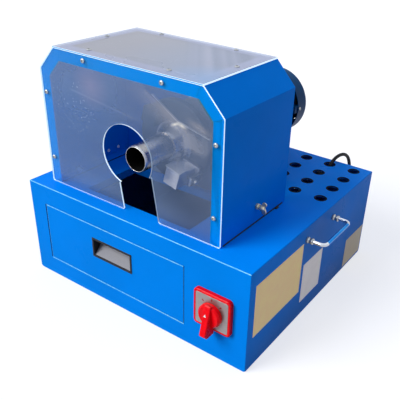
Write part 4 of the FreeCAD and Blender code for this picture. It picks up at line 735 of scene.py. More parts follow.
def make_top_plate():
    """Nearly opaque hazy plate: faint streaks across it, which are painted reflections, and paler where it
    lies on the flanges.
    """
    made = Finish("hazy_top_plate", roughness=0.3, IOR=1.49, Specular_IOR_Level=0.35)
    low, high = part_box("top_window")
    cloud = made.noise(5.0, 3.0, 0.5, distortion=0.6)
    specks = made.ramp(made.noise(280.0, 3.0, 0.6), (0.7, 0.0), (0.74, 0.5))
    veil = made.plus(made.range(cloud, -0.06, 0.1, 0.3, 0.7), bpy.context.scene.skiver_plates.top_haze)
    made.link(made.plus(veil, specks), "Alpha")
    across = made.along(x=TOP_REFLECTION_WAY[0], y=TOP_REFLECTION_WAY[1])
    # Painted reflections: streaks across the plate.
    streaks = made.noise(30.0, 1.0, 0.4, vector=across)
    warmth = made.range(made.along(x=1.0), 0.0, 1.0, -0.1, 0.08)
    warm = made.blend(warmth, (0.42, 0.425, 0.465), (0.37, 0.43, 0.54))
    cool = made.ramp(streaks, (0.34, (0.31, 0.35, 0.46)), (0.5, (0.38, 0.42, 0.53)), (0.66, (0.47, 0.5, 0.6)))
    tone = made.blend(made.range(across, 0.0, 0.8, -0.05, -0.03), warm, cool)
    parts = []
    for way, corner in ((RIGHT, high), (LEFT, low), (REAR, high), (FRONT, low)):
        edge = way.dot(corner) - FLANGE_WIDTH
        parts.append(made.range(made.along(x=way.x, y=way.y), 1.0, 0.0, edge - 5 * MM, edge + 3 * MM))
    tone = made.blend(made.range(made.product(parts), 0.75, 0.0), tone, (0.5, 0.54, 0.72))
    blue_corner = made.range(made.spot((*TOP_CORNER, high.z), TOP_CORNER_RADIUS), 0.0, 0.8)
    tone = made.blend(blue_corner, tone, (0.3, 0.5, 0.78))
    made.link(made.blend(specks, tone, (0.85, 0.88, 0.92)), "Base Color")
    made.link(made.range(cloud, 0.2, 0.4, 0.3, 0.7), "Roughness")
    made.bump(made.plus(cloud, specks), 0.06, 0.05 * MM)
    return made


def make_plate_side():
    """Side of the top plate between its arrises, where the paint under it shows through."""
    made = Finish("plate_clear_side", roughness=0.3, IOR=1.49)
    grain = made.noise(300.0, 3.0, 0.6)
    made.link(made.ramp(grain, (0.3, (0.1, 0.42, 0.85)), (0.7, (0.22, 0.58, 0.95))), "Base Color")
    return made


def make_plate_edge(name="plate_cut_edge_painted_glow", share=1.0, glow=0.72):
    """Cut edge of a clear plate, near white, with a painted glow for the light that it gathers."""
    made = Finish(name, roughness=0.5, IOR=1.49)
    grain = made.noise(700.0, 3.0, 0.6)
    dark, light = shade((0.7, 0.76, 0.84), share), shade((0.95, 0.97, 1.0), share)
    made.link(made.ramp(grain, (0.3, dark), (0.7, light)), "Base Color")
    made.shader.inputs["Emission Color"].default_value = (0.74, 0.94, 1.0, 1)
    made.shader.inputs["Emission Strength"].default_value = glow
    return made


def make_plate_edge_dim():
    """The same edge darker and with less glow: painted shade where it is turned away from the light."""
    return make_plate_edge("plate_dim_edge_painted_shade", 0.6, 0.28)


def make_metal(name, colour, roughness, lines, spread=0.12, depth=0.05, metallic=1.0):
    """Worked metal with fine lines across the given directions and faint stains."""
    made = Finish(name, roughness=roughness, metallic=metallic)
    grain = made.noise(60.0, 4.0, 0.65, vector=made.stretched(lines))
    stain = made.noise(22.0, 4.0, 0.6)
    tone = made.ramp(grain, (0.25, shade(colour, 0.8)), (0.55, colour), (0.8, shade(colour, 1.15)))
    made.link(made.blend(made.ramp(stain, (0.52, 0.0), (0.7, 0.35)), tone, shade(colour, 0.6)), "Base Color")
    made.link(made.range(stain, roughness - spread / 2, roughness + spread, 0.3, 0.7), "Roughness")
    made.bump(grain, 0.25, depth * MM)
    return made


def make_turned_steel():
    return make_metal("turned_steel", (0.66, 0.62, 0.57), 0.24, (1.0, 30.0, 1.0), depth=0.04)


def make_lip_painted_highlight():
    return make_metal("lip_painted_highlight", (1.0, 0.97, 0.9), 0.3, (1.0, 30.0, 1.0), depth=0.02)


def make_milled_steel():
    return make_metal("milled_steel", (0.85, 0.85, 0.84), 0.45, (1.0, 1.0, 14.0), metallic=0.5)


def make_pale_steel():
    return make_metal("pale_steel", (0.98, 0.97, 0.95), 0.5, (1.0, 1.0, 14.0), metallic=0.1)


def make_faced_steel():
    return make_metal("faced_steel", (0.12, 0.125, 0.14), 0.42, (3.0, 3.0, 3.0), spread=0.2)


# Near black for hollows: painted shade.
def make_painted_shade_black():
    return make_moulded("painted_shade_black", (0.006, 0.006, 0.006), 0.7, 300.0, 0.1, 0.02)


# Dark blue for the drawer's side gaps: painted shade.
def make_painted_gap_shade():
    return make_moulded("painted_gap_shade", (0.0, 0.03, 0.14), 0.6, 300.0, 0.05, 0.05)


def make_brassy_zinc():
    return make_metal("passivated_zinc", (0.6, 0.55, 0.42), 0.34, (2.0, 2.0, 2.0), spread=0.24)


def make_zinc():
    return make_metal("zinc_plate", (0.42, 0.43, 0.43), 0.3, (2.0, 2.0, 2.0), spread=0.2)


def make_dull_zinc():
    return make_metal("dull_zinc", (0.24, 0.25, 0.26), 0.48, (2.0, 2.0, 2.0), spread=0.2)


def make_chrome(name="plated_bright", dark=(0.5, 0.53, 0.58), light=(0.68, 0.7, 0.73)):
    """Bright plated rod with faint finger marks."""
    made = Finish(name, roughness=0.08, metallic=1.0)
    marks = made.noise(45.0, 4.0, 0.6)
    made.link(made.ramp(marks, (0.3, dark), (0.7, light)), "Base Color")
    made.link(made.range(marks, 0.05, 0.2, 0.35, 0.75), "Roughness")
    made.bump(made.noise(600.0, 2.0), 0.04, 0.05 * MM)
    return made


def make_painted_reflection_chrome():
    """The same plating tinted blue: a painted reflection of the blue cabinet."""
    return make_chrome("plated_painted_reflection", (0.0, 0.14, 0.5), (0.02, 0.28, 0.72))


def make_enamel(name, colour, roughness, grain, depth, gloss=0.2):
    """Brushed or sprayed enamel over a casting."""
    made = Finish(name, roughness=roughness, Specular_IOR_Level=gloss)
    cloud = made.noise(18.0, 4.0, 0.6)
    tone = made.ramp(cloud, (0.3, shade(colour, 0.8)), (0.5, colour), (0.75, shade(colour, 1.3)))
    made.link(tone, "Base Color")
    made.link(made.range(cloud, roughness - 0.08, roughness + 0.12, 0.3, 0.7), "Roughness")
    made.bump(made.noise(grain, 4.0, 0.6), 0.3, depth * MM)
    return made


def make_motor_enamel():
    return make_enamel("teal_enamel", tuple(bpy.context.scene.skiver_paint.motor), 0.38, 420.0, 0.15, 0.06)


def make_case_enamel():
    return make_enamel("grey_enamel", tuple(bpy.context.scene.skiver_paint.case), 0.5, 260.0, 0.35)


def make_moulded(name, colour, roughness, grain, depth, gloss=0.2):
    """Moulded plastic or rubber."""
    made = Finish(name, roughness=roughness, Specular_IOR_Level=gloss)
    cloud = made.noise(40.0, 4.0, 0.6)
    made.link(made.ramp(cloud, (0.3, shade(colour, 0.88)), (0.7, shade(colour, 1.12))), "Base Color")
    made.link(made.range(cloud, roughness - 0.05, roughness + 0.08, 0.3, 0.7), "Roughness")
    made.bump(made.noise(grain, 3.0, 0.5), 0.2, depth * MM)
    return made


def make_switch_red():
    return make_moulded("moulded_red", tuple(bpy.context.scene.skiver_paint.switch), 0.22, 1400.0, 0.05, 0.1)


def make_switch_face():
    return make_metal("satin_face", tuple(bpy.context.scene.skiver_paint.switch_face), 0.42, (1.0, 1.0, 30.0))


def make_switch_black():
    return make_moulded("moulded_black", (0.018, 0.018, 0.02), 0.5, 900.0, 0.08)


def make_pull_black():
    return make_moulded("pull_black", (0.012, 0.013, 0.016), 0.36, 700.0, 0.1)


def make_pull_grey():
    return make_moulded("pull_satin", (0.2, 0.205, 0.235), 0.42, 500.0, 0.1, 0.3)


def make_cable_black():
    return make_moulded("lead_black", (0.012, 0.012, 0.014), 0.42, 1200.0, 0.1)


def make_paper(name, colour, glow=(0.0, 0.0, 0.0)):
    """Vinyl left blank: faintly creased, with dust in its grain, and a faint glow that is painted light."""
    made = Finish(name, roughness=0.42, Specular_IOR_Level=0.3)
    made.shader.inputs["Emission Color"].default_value = (*glow, 1)
    made.shader.inputs["Emission Strength"].default_value = 1.0
    cloud = made.noise(24.0, 5.0, 0.65)
    tone = made.ramp(cloud, (0.3, shade(colour, 0.86)), (0.6, colour), (0.8, shade(colour, 1.06)))
    made.link(tone, "Base Color")
    made.link(made.range(cloud, 0.32, 0.52, 0.3, 0.7), "Roughness")
    made.bump(made.noise(55.0, 4.0, 0.6), 0.12, 0.2 * MM)
    return made


# The blank papers and marks: their colours, and the labels' faint glow, which is painted light.
PAPERS = {
    "cream_label": ((0.95, 0.78, 0.36), (0.12, 0.055, 0.01)),
    "white_label": ((0.92, 0.88, 0.82), (0.09, 0.075, 0.06)),
    "grey_label": ((0.58, 0.48, 0.33), (0.02, 0.012, 0.0)),
    "white_mark": ((0.85, 0.82, 0.8),),
    "red_mark": ((0.3, 0.01, 0.015),),
}

# The function that makes each other finish.
MAKERS = {
    "powder_coat": make_powder_coat, "side_coat": make_side_coat, "dusty_coat_painted_shade": make_dusty_coat_painted_shade,
    "painted_edge_highlight": make_painted_edge_highlight, "front_plate": make_front_plate, "top_plate": make_top_plate,
    "plate_side": make_plate_side, "plate_edge": make_plate_edge, "plate_edge_dim": make_plate_edge_dim,
    "turned_steel": make_turned_steel, "lip_painted_highlight": make_lip_painted_highlight, "milled_steel": make_milled_steel,
    "pale_steel": make_pale_steel, "faced_steel": make_faced_steel, "zinc": make_zinc,
    "dull_zinc": make_dull_zinc, "brassy_zinc": make_brassy_zinc, "chrome": make_chrome,
    "painted_reflection_chrome": make_painted_reflection_chrome, "motor_enamel": make_motor_enamel, "case_enamel": make_case_enamel,
    "switch_red": make_switch_red, "switch_face": make_switch_face, "switch_black": make_switch_black,
    "pull_black": make_pull_black, "pull_grey": make_pull_grey, "cable_black": make_cable_black,
    "painted_shade_black": make_painted_shade_black, "painted_gap_shade": make_painted_gap_shade,
}


# Camera and mains lead

CAMERA_PLACE = (0.62307, -0.85751, 0.71792)
CAMERA_TURN = (60.633, -2.546, 34.304)
CAMERA_LENS = 51.38
CAMERA_SHIFT = (-0.0875, 0.0275)

# The lead's free run, in millimetres: clamp, rack hole, over the rear edge, down and along the floor.
LEAD_RUN = [
    (165, 196, 158), (170, 209, 190), (175, 222, 215), (184, 246, 222.5), (190, 268, 210),
    (194, 277, 180), (193, 271, 130), (192, 265, 84), (187, 263, 49), (173, 263, 20),
    (149, 265.5, 6.5), (121, 266.5, 3.95), (94, 266.5, 3.95),
]
COIL_CENTRE = (70, 316)

# The coil's turns, each a radius and a height: two layers of three, that step over at the end of each turn.
COIL_TURNS = [(49.5, 3.95), (42, 3.95), (34.5, 3.95), (34.5, 11.45), (42, 11.45), (49.5, 11.45)]
TURN_POINTS = 14
STEP_SHARE = 0.3

# Where along X the lead bends last before the plug, and how deep it goes into the plug's neck.
LAST_BEND = 56
NECK_DEPTH = 6

# The plug's ribbed neck and round head, and one of its pins, by distance along it and radius.
PLUG_RIBS = 4
PLUG_HEAD = [(14.5, 12.4), (17.5, 15.6), (19.5, 16.6), (22.0, 17.0), (33.6, 17.0), (35.2, 16.6), (36.0, 15.4)]
PLUG_PIN = [(0.0, 2.4), (18.0, 2.4), (19.2, 1.7), (19.5, 0.8)]
PIN_START = 35.5
PIN_ASIDE = 9.5
RELIEF_RIBS = 6

# Half the tie's width and height round the coil's turns, its middle's height and its breadth.
TIE_REACH = (11.9, 7.5)
TIE_HEIGHT = 7.7
TIE_BREADTH = 4.5


class SKIVER_OT_camera(bpy.types.Operator):
    """Sets the camera at the photograph's place"""
    bl_idname = "skiver.camera"
    bl_label = "Camera"

    def execute(self, context):
        deselect_all()
        turn_angles = [math.radians(angle) for angle in CAMERA_TURN]
        bpy.ops.object.camera_add(location=CAMERA_PLACE, rotation=turn_angles)
        camera = context.object
        camera.data.sensor_width = 36
        camera.data.lens = CAMERA_LENS
        camera.data.shift_x, camera.data.shift_y = CAMERA_SHIFT
        camera.data.clip_start = 0.05
        camera.data.clip_end = 20
        context.scene.camera = camera
        return {"FINISHED"}


def coil_points():
    """Points of the coil's turns: out to in on the floor, then in to out on top of them."""
    points = []
    count = len(COIL_TURNS)
    for number in range(count * TURN_POINTS):
        at = number / TURN_POINTS
        turn = int(at)
        radius, height = COIL_TURNS[turn]
        if turn + 1 < count:
            share = max(0.0, (at - turn - 1 + STEP_SHARE) / STEP_SHARE)
            share = share * share * (3 - 2 * share)
            next_radius, next_height = COIL_TURNS[turn + 1]
            radius += (next_radius - radius) * share
            height += (next_height - height) * share
        angle = math.radians(-90) - at * math.tau
        x = COIL_CENTRE[0] + radius * math.cos(angle)
        y = COIL_CENTRE[1] + radius * math.sin(angle)
        points.append((x, y, height))
    return points


class SKIVER_OT_mains_lead(bpy.types.Operator):
    """Runs the mains lead from its clamp to the coil and plug behind the cabinet"""
    bl_idname = "skiver.mains_lead"
    bl_label = "Mains lead"

    def execute(self, context):
        diameter = context.scene.skiver_lead.diameter
        plug = self.make_plug()
        plug_low, plug_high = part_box("mains_plug")
        neck = Vector((plug_high.x, (plug_low.y + plug_high.y) / 2, (plug_low.z + plug_high.z) / 2))
        last_radius, last_height = COIL_TURNS[-1]
        end = [
            (COIL_CENTRE[0], COIL_CENTRE[1] - last_radius, last_height),
            (LAST_BEND, neck.y / MM, (neck.z / MM + last_height) / 2),
            (neck.x / MM - NECK_DEPTH, neck.y / MM, neck.z / MM),
        ]
        points = [Vector(point) * MM for point in LEAD_RUN + coil_points() + end]
        curve = bpy.data.curves.new("mains_lead", "CURVE")
        curve.dimensions = "3D"
        curve.bevel_depth = diameter / 2
        curve.bevel_resolution = 6
        curve.use_fill_caps = True
        spline = curve.splines.new("NURBS")
        spline.points.add(len(points) - 1)
        for point, place in zip(spline.points, points):
            point.co = (*place, 1)
        spline.order_u = 3
        spline.use_endpoint_u = True
        spline.resolution_u = 8
        lead = bpy.data.objects.new("mains_lead", curve)
        context.scene.collection.objects.link(lead)
        give(lead, "mains_lead", "cabinet", finish("cable_black"),
             ("mains_cable", "cable_coil"))
        tie = self.make_tie()
        relief = self.make_relief(points[0], (points[1] - points[0]).normalized())
        return {"FINISHED"}

    def make_plug(self):
        """Moulded round plug with a ribbed neck and two pins."""
        low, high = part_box("mains_plug")
        centre = Vector((high.x, (low.y + high.y) / 2, (low.z + high.z) / 2))
        neck = [(0.0, 4.6), (1.5, 5.4)]
        for rib in range(PLUG_RIBS):
            start = 2.5 + rib * 2.6
            neck += [(start, 5.6), (start + 0.3, 6.6 + rib * 0.9), (start + 1.6, 6.8 + rib * 0.9),
                     (start + 1.9, 5.8 + rib * 0.8)]
        plug = turned(centre, LEFT, in_metres(neck + PLUG_HEAD), 48)
        soften(plug, 0.3 * MM)
        plug.data.materials.append(finish("cable_black"))
        pins = []
        for side in (-1, 1):
            root = centre + LEFT * PIN_START * MM + REAR * side * PIN_ASIDE * MM
            pin = turned(root, LEFT, in_metres(PLUG_PIN), 24)
            soften(pin, 0.1 * MM)
            pin.data.materials.append(finish("chrome"))
            pins.append(pin)
        plug = join([plug] + pins)
        return give(plug, "mains_plug_moulded", "cabinet", None, ("mains_plug",))

    def make_relief(self, exit, way):
        """Ribbed sleeve that tapers along the lead where it leaves its clamp."""
        stations = [(-4.0, 4.2), (-3.4, 6.6), (1.0, 6.8)]
        for rib in range(RELIEF_RIBS):
            start = 2.0 + rib * 4.6
            width = 6.5 - rib * 0.38
            stations += [(start, width - 0.9), (start + 1.0, width - 0.9), (start + 1.4, width),
                         (start + 4.0, width - 0.25)]
        stations += [(30.6, 4.4), (32.0, 3.9)]
        relief = turned(exit, way, in_metres(stations), 32)
        soften(relief, 0.15 * MM, 1)
        return give(relief, "lead_relief", "cabinet", finish("cable_black"))

    def make_tie(self):
        """Flat tie round the coil's turns."""
        radius = (COIL_TURNS[0][0] + COIL_TURNS[2][0]) / 2
        centre = Vector((COIL_CENTRE[0] + radius, COIL_CENTRE[1], TIE_HEIGHT)) * MM
        deselect_all()
        bpy.ops.mesh.primitive_circle_add(vertices=32, radius=1, fill_type="NOTHING", location=centre,
                                          rotation=(math.radians(90), 0, 0))
        tie = bpy.context.object
        bpy.ops.transform.resize(value=(TIE_REACH[0] * MM, 1, TIE_REACH[1] * MM))
        bpy.ops.object.mode_set(mode="EDIT")
        bpy.ops.mesh.select_all(action="SELECT")
        bpy.ops.mesh.extrude_region_move(TRANSFORM_OT_translate={"value": REAR * TIE_BREADTH * MM})
        bpy.ops.object.mode_set(mode="OBJECT")
        settle(tie)
        apply_modifier(tie, "SOLIDIFY", thickness=1.0 * MM, offset=-1)
        soften(tie, 0.2 * MM)
        return give(tie, "lead_tie", "cabinet", finish("switch_black"))


# Cabinet

DECK_EDGE = 0.5 * MM
DRAWER_EDGE = 1.1 * MM

# The rack holes' places and the section of the dark rings round them, painted shade, by height and radius, in
# millimetres.
RACK_COLUMNS = (114.3, 171.1, 227.9)
RACK_ROWS = (57.1, 109.3, 161.5, 213.7)
RACK_SHADE_RING = [(-1.0, 9.85), (0.3, 9.85), (0.3, 12.5), (0.0, 12.9), (0.0, 9.95), (-1.0, 9.95)]


class SKIVER_OT_cabinet(bpy.types.Operator):
    """Dresses the cabinet's sheet panels, the drawer and its runners"""
    bl_idname = "skiver.cabinet"
    bl_label = "Cabinet"

    def execute(self, context):
        edge = context.scene.skiver_sheet.edge
        coat = finish("powder_coat")
        deck = dress("deck_plate", "cabinet", coat, DECK_EDGE)
        # The deck's front fold gets a painted highlight.
        recolour(deck, finish("painted_edge_highlight"), self.on_front_fold)
        for node in ("front_panel", "left_side_panel", "right_side_panel", "rear_panel", "bottom_plate"):
            material = finish("side_coat") if node == "right_side_panel" else coat
            dress(node, "cabinet", material, edge)
        front = dress("drawer_front", "drawer", coat, DRAWER_EDGE)
        # The drawer front's slanted edge faces get a painted highlight.
        recolour(front, finish("painted_edge_highlight"), lambda face: face.normal.y < -0.2 and abs(face.normal.y) < 0.95)
        self.make_lines()
        self.make_rack_hole_shade()
        dress("drawer_tray", "drawer", finish("dusty_coat_painted_shade"), 0.3 * MM)
        for node in ("left_runner", "right_runner", "cable_clamp"):
            dress(node, "cabinet", finish("zinc"), 0.3 * MM)
        return {"FINISHED"}

    def make_rack_hole_shade(self):
        """Dark rings over the rim of each of the deck's rack holes: painted shade that makes the holes read
        wider.
        """
        ring = turned((0, 0, DECK), UP, in_metres(RACK_SHADE_RING), 40, hollow=True)
        give(ring, "rack_hole_painted_shade", "cabinet", finish("painted_shade_black"))
        places = [(x * MM, y * MM, 0) for x in RACK_COLUMNS for y in RACK_ROWS]
        copies(ring, "rack_hole_painted_shade", places, "cabinet")

    def make_lines(self):
        """Painted highlight along the drawer's top arris and the opening's lower lip, and painted shade in
        the dark gaps at its ends.
        """
        low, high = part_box("drawer_front")
        front, rear = low.y - 0.12 * MM, low.y + 0.3 * MM
        lines = (
            ("drawer_top_painted_highlight", "drawer", "painted_edge_highlight", "cabinet_blue",
             (low.x + 0.8 * MM, front, high.z - 1.6 * MM), (high.x - 0.8 * MM, rear, high.z - 0.1 * MM)),
            ("opening_lower_lip_painted_highlight", "cabinet", "painted_edge_highlight", "cabinet_blue",
             (low.x, front, low.z - 2.2 * MM), (high.x + 0.4 * MM, rear, low.z - 0.7 * MM)),
            ("opening_left_gap_painted_shade", "cabinet", "painted_gap_shade", "pull_black",
             (low.x - 2.4 * MM, front, low.z), (low.x - 0.5 * MM, rear, high.z)),
            ("opening_right_gap_painted_shade", "cabinet", "painted_gap_shade", "pull_black",
             (high.x + 0.5 * MM, front, low.z), (high.x + 1.3 * MM, rear, high.z)),
        )
        for name, body, material, slot, corner, far_corner in lines:
            give(block(corner, far_corner, 0.08 * MM, 1), name, body, finish(material))

    def on_front_fold(self, face):
        """Whether a face lies on the fold between the deck and its front edge."""
        behind, below = face.center.y - CABINET_FRONT, DECK - face.center.z
        near = max(abs(behind), abs(below)) < 2 * DECK_EDGE
        return near and abs(face.normal.y) < 0.98 and abs(face.normal.z) < 0.98


class SKIVER_OT_pull(bpy.types.Operator):
    """Makes the drawer's recessed pull: a moulded frame and its satin pan"""
    bl_idname = "skiver.pull"
    bl_label = "Drawer pull"

    def execute(self, context):
        dress("pull_frame", "drawer", finish("pull_black"), 0.5 * MM, 3)
        dress("pull_pan", "drawer", finish("pull_grey"), 0.4 * MM)
        return {"FINISHED"}


# Switch

# The bezel's rim, the depth of the face inside it, and how high the stem and the pointer are.
BEZEL_RIM = 5.2 * MM
FACE_DEPTH = 0.55 * MM
STEM_HEIGHT = 99 * MM
POINTER_HEIGHT = 104.5 * MM

# The marks of the three positions: their angles, how far from the stem and above it they stand, and half
# their width and length.
MARK_ANGLES = (-45, 0, 45)
MARK_RADIUS = 25.5 * MM
MARK_RISE = 3.5 * MM
MARK_HALF = (1.3 * MM, 2.4 * MM)


class SKIVER_OT_switch(bpy.types.Operator):
    """Makes the rotary switch: bezel, satin face with its marks, and the lever knob"""
    bl_idname = "skiver.switch"
    bl_label = "Switch"

    def execute(self, context):
        dress("switch_bezel", "cabinet", finish("switch_red"), 0.5 * MM, 3)
        knob = dress("switch_knob", "switch_lever", finish("switch_red"), 0.7 * MM, 3)
        self.make_pointer(knob)
        paint(finish("switch_black"), "switch_body", "switch_stem")
        self.make_face()
        return {"FINISHED"}

    def make_face(self):
        """Satin face in the bezel's recess, with a mark for each of the three positions."""
        low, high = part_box("switch_bezel")
        knob_low, knob_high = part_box("switch_knob")
        face = sheet_between((low.x + BEZEL_RIM, low.y + 0.05 * MM, low.z + BEZEL_RIM),
                             (high.x - BEZEL_RIM, low.y + FACE_DEPTH, high.z - BEZEL_RIM), FRONT, 3 * MM)
        soften(face, 0.1 * MM, 1)
        give(face, "switch_face", "cabinet", finish("switch_face"))
        stem = Vector(((knob_low.x + knob_high.x) / 2, low.y, STEM_HEIGHT))
        half_width, half_length = MARK_HALF
        for number, angle in enumerate(MARK_ANGLES, 1):
            way = Vector((math.sin(math.radians(angle)), 0, math.cos(math.radians(angle))))
            centre = stem + way * MARK_RADIUS + UP * MARK_RISE
            mark = block(centre - Vector((half_width, 0.12 * MM, half_length)),
                         centre + Vector((half_width, 0.06 * MM, half_length)))
            turn(mark, math.radians(angle), "Y", centre)
            soften(mark, 0.1 * MM, 1)
            give(mark, f"switch_mark_{number}", "cabinet", finish("red_mark"))

    def make_pointer(self, knob):
        """White arrowhead let into the ridge of the knob's grip."""
        low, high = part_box("switch_knob")
        above = Vector(((low.x + high.x) / 2 - 1.6 * MM, low.y - 20 * MM, POINTER_HEIGHT))
        found, place, normal, _ = knob.ray_cast(above, REAR, depsgraph=bpy.context.evaluated_depsgraph_get())
        if not found:
            raise RuntimeError("The knob's grip is not where its pointer goes")
        pointer = turned(place - normal * 0.45 * MM, normal, [(0.0, 3.3 * MM), (0.6 * MM, 3.3 * MM)], 3)
        soften(pointer, 0.08 * MM, 1)
        give(pointer, "knob_pointer", "switch_lever", finish("white_mark"))


# Carry handles

# The rod, the radius of its bends, how far it stands out, and half the distance between its ends.
ROD_RADIUS = 3.5 * MM
ROD_BEND = 10 * MM
HANDLE_REACH = 36 * MM
HANDLE_HALF = 52.5 * MM

# A ferrule's two beads, by distance from the wall and radius, in millimetres.
FERRULE = [
    (0, 5.9), (1.2, 6.0), (3.6, 6.0), (4.3, 5.2), (5.6, 4.8), (6.9, 4.8), (8.2, 5.6), (9.0, 6.0), (12.2, 6.0),
    (13.0, 5.2), (13.0, 3.6),
]


class SKIVER_OT_handles(bpy.types.Operator):
    """Bends the two plated handles and seats them in their ferrules"""
    bl_idname = "skiver.handles"
    bl_label = "Handles"

    def execute(self, context):
        for side, way in (("right", 1), ("left", -1)):
            low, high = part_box(f"{side}_handle")
            wall = way * CABINET_RIGHT
            z = (low.z + high.z) / 2
            rod = self.make_rod(wall, way, z)
            ferrules = [self.make_ferrule(wall, way, y, z) for y in (-HANDLE_HALF, HANDLE_HALF)]
            piece = join([rod] + ferrules)
            give(piece, f"{side}_handle_plated", "cabinet", None, (f"{side}_handle",))
        return {"FINISHED"}

    def make_rod(self, wall, way, z):
        """Round rod extruded from the wall and spun through its two bends."""
        arm = way * (HANDLE_REACH - ROD_BEND)
        grip_half = HANDLE_HALF - ROD_BEND
        deselect_all()
        bpy.ops.mesh.primitive_circle_add(vertices=28, radius=ROD_RADIUS, fill_type="NGON",
                                          location=(wall, -HANDLE_HALF, z), rotation=(0, math.radians(90), 0))
        rod = bpy.context.object
        bpy.ops.object.transform_apply(location=True, rotation=True, scale=True)
        bpy.ops.object.mode_set(mode="EDIT")
        bpy.ops.mesh.select_all(action="SELECT")
        bpy.ops.mesh.extrude_region_move(TRANSFORM_OT_translate={"value": (arm, 0, 0)})
        for y, after in ((-grip_half, (0, 2 * grip_half, 0)), (grip_half, (-arm, 0, 0))):
            bpy.ops.mesh.spin(steps=10, angle=math.radians(-90) * way, center=(wall + arm, y, z),
                              axis=(0, 0, 1))
            bpy.ops.mesh.extrude_region_move(TRANSFORM_OT_translate={"value": after})
        bpy.ops.object.mode_set(mode="OBJECT")
        settle(rod)
        bpy.ops.object.shade_smooth_by_angle(angle=math.radians(40))
        rod.data.materials.append(finish("chrome"))
        innermost = abs(wall) + HANDLE_REACH - 2 * ROD_RADIUS

        def on_grip(face):
            """Whether a face is on the straight part that the hand closes round."""
            straight = abs(face.center.y) < grip_half and abs(face.normal.y) < 0.2
            return straight and abs(face.center.x) > innermost

        # The grip gets the blue-tinted plating: painted reflection.
        recolour(rod, finish("painted_reflection_chrome"), on_grip)
        return rod

    def make_ferrule(self, wall, way, y, z):
        """Turned ferrule in which one end of the rod is seated."""
        ferrule = turned((wall, y, z), RIGHT * way, in_metres(FERRULE), 40)
        soften(ferrule, 0.15 * MM, 2)
        ferrule.data.materials.append(finish("zinc"))
        return ferrule


# Blank labels on the right side

# Each label's reach along the side and up it, in millimetres, and its thickness.
LABELS = {
    "front_label": ((-222, -63), (65, 172), "cream_label"),
    "middle_label": ((-53, 25), (33, 120), "white_label"),
    "rear_label": ((148, 236), (5, 74), "grey_label"),
}
LABEL_THICKNESS = 0.3 * MM


class SKIVER_OT_labels(bpy.types.Operator):
    """Sticks the blank labels on the right side panel"""
    bl_idname = "skiver.labels"
    bl_label = "Labels"

    def execute(self, context):
        side = CABINET_RIGHT + 0.02 * MM
        for name, ((y_low, y_high), (z_low, z_high), paper) in LABELS.items():
            label = sheet_between((side, y_low * MM, z_low * MM),
                                  (side + LABEL_THICKNESS, y_high * MM, z_high * MM), RIGHT, 1.2 * MM)
            soften(label, 0.08 * MM, 1)
            give(label, name, "cabinet", finish(paper))
        return {"FINISHED"}


# Hood

# Places of the clear plates' screws in millimetres: (x, z) on the front plate and (x, y) on the top one.
FRONT_PLATE_SCREWS = [
    (-212, 385.4), (-211.5, 257.8), (165.9, 384.2), (165.3, 257.5), (-109.8, 460), (61.1, 458),
]
TOP_PLATE_SCREWS = [(-119, -188), (58, -190), (-170, -95), (124, -101), (-110, -12), (62, -12)]

# How far the keyhole's edge goes to the right and above the deck.
KEYHOLE_REACH = 48.5 * MM
KEYHOLE_HEIGHT = 150 * MM

# Outlines of the fasteners' heads, by height and radius, as shares of their full height or radius.
SCREW_DOME = [(0.0, 0.94), (0.19, 1.0), (0.47, 0.98), (0.72, 0.86), (0.9, 0.66), (1.0, 0.4)]
BOLT_WASHER = [(0.0, 1.3), (0.05, 1.38), (0.18, 1.38)]
BOLT_HEAD = [(0.15, 1.0), (0.75, 1.0), (0.85, 0.86)]

# The wing screw's nut and hub, by distance from the hood's wall and radius, in millimetres, and its wings.
WING_NUT = [(0.3, 6.2), (4.4, 6.2), (5.2, 5.2)]
WING_HUB = [(8.5, 5.4), (13, 5.4), (16.5, 4.4), (17, 3.6)]
WING_HALF = 1.2 * MM
WING_FLARE = math.radians(16)

# The bolts of the folded foot, and the screws of the cover plate behind the hood, in millimetres.
FOOT_BOLT_HEIGHT = 218
FOOT_BOLT_ROWS = (-62, -33.2)
FOOT_BOLT_RADIUS = 2.7
LINER_SIDE_SCREWS = (20, 110, 200)
LINER_TOP_SCREWS = (-60, 40, 140)
LINER_LEFT = -132 * MM
LINER_HEIGHT = 214 * MM
LINER_THICKNESS = 1.5 * MM


def make_screw(place, axis, radius, height=0.64):
    """Pan-head screw with a cross recess, standing on the place. The height is a share of the radius."""
    place, axis = Vector(place), Vector(axis)
    stations = [(along * height * radius, share * radius) for along, share in SCREW_DOME]
    screw = turned(place, axis, stations, 28)
    side = axis.orthogonal().normalized()
    for way in (side, axis.cross(side)):
        half = Vector([max(abs(w) * 0.52, 0.11) * radius for w in way])
        deep = Vector([abs(a) * 0.4 * height * radius for a in axis])
        span = Vector([max(h, d) if abs(a) < 0.5 else d for h, d, a in zip(half, deep, axis)])
        middle = place + axis * 0.94 * height * radius
        cutter = block(middle - span, middle + span)
        apply_modifier(screw, "BOOLEAN", operation="DIFFERENCE", object=cutter, solver="EXACT")
        bpy.data.objects.remove(cutter)
    activate(screw)
    bpy.ops.object.shade_smooth_by_angle(angle=math.radians(35))
    screw.data.materials.clear()
    screw.data.materials.append(finish("zinc"))
    return screw


def make_bolt(place, axis, radius, metal="zinc"):
    """Hexagon head on a washer, with the chamfer of its corners."""
    place, axis = Vector(place), Vector(axis)
    parts = []
    for outline, sides in ((BOLT_WASHER, 32), (BOLT_HEAD, 6)):
        stations = [(along * radius, share * radius) for along, share in outline]
        parts.append(turned(place, axis, stations, sides))
    bolt = join(parts)
    soften(bolt, 0.12 * MM, 2, 30)
    bolt.data.materials.clear()
    bolt.data.materials.append(finish(metal))
    return bolt


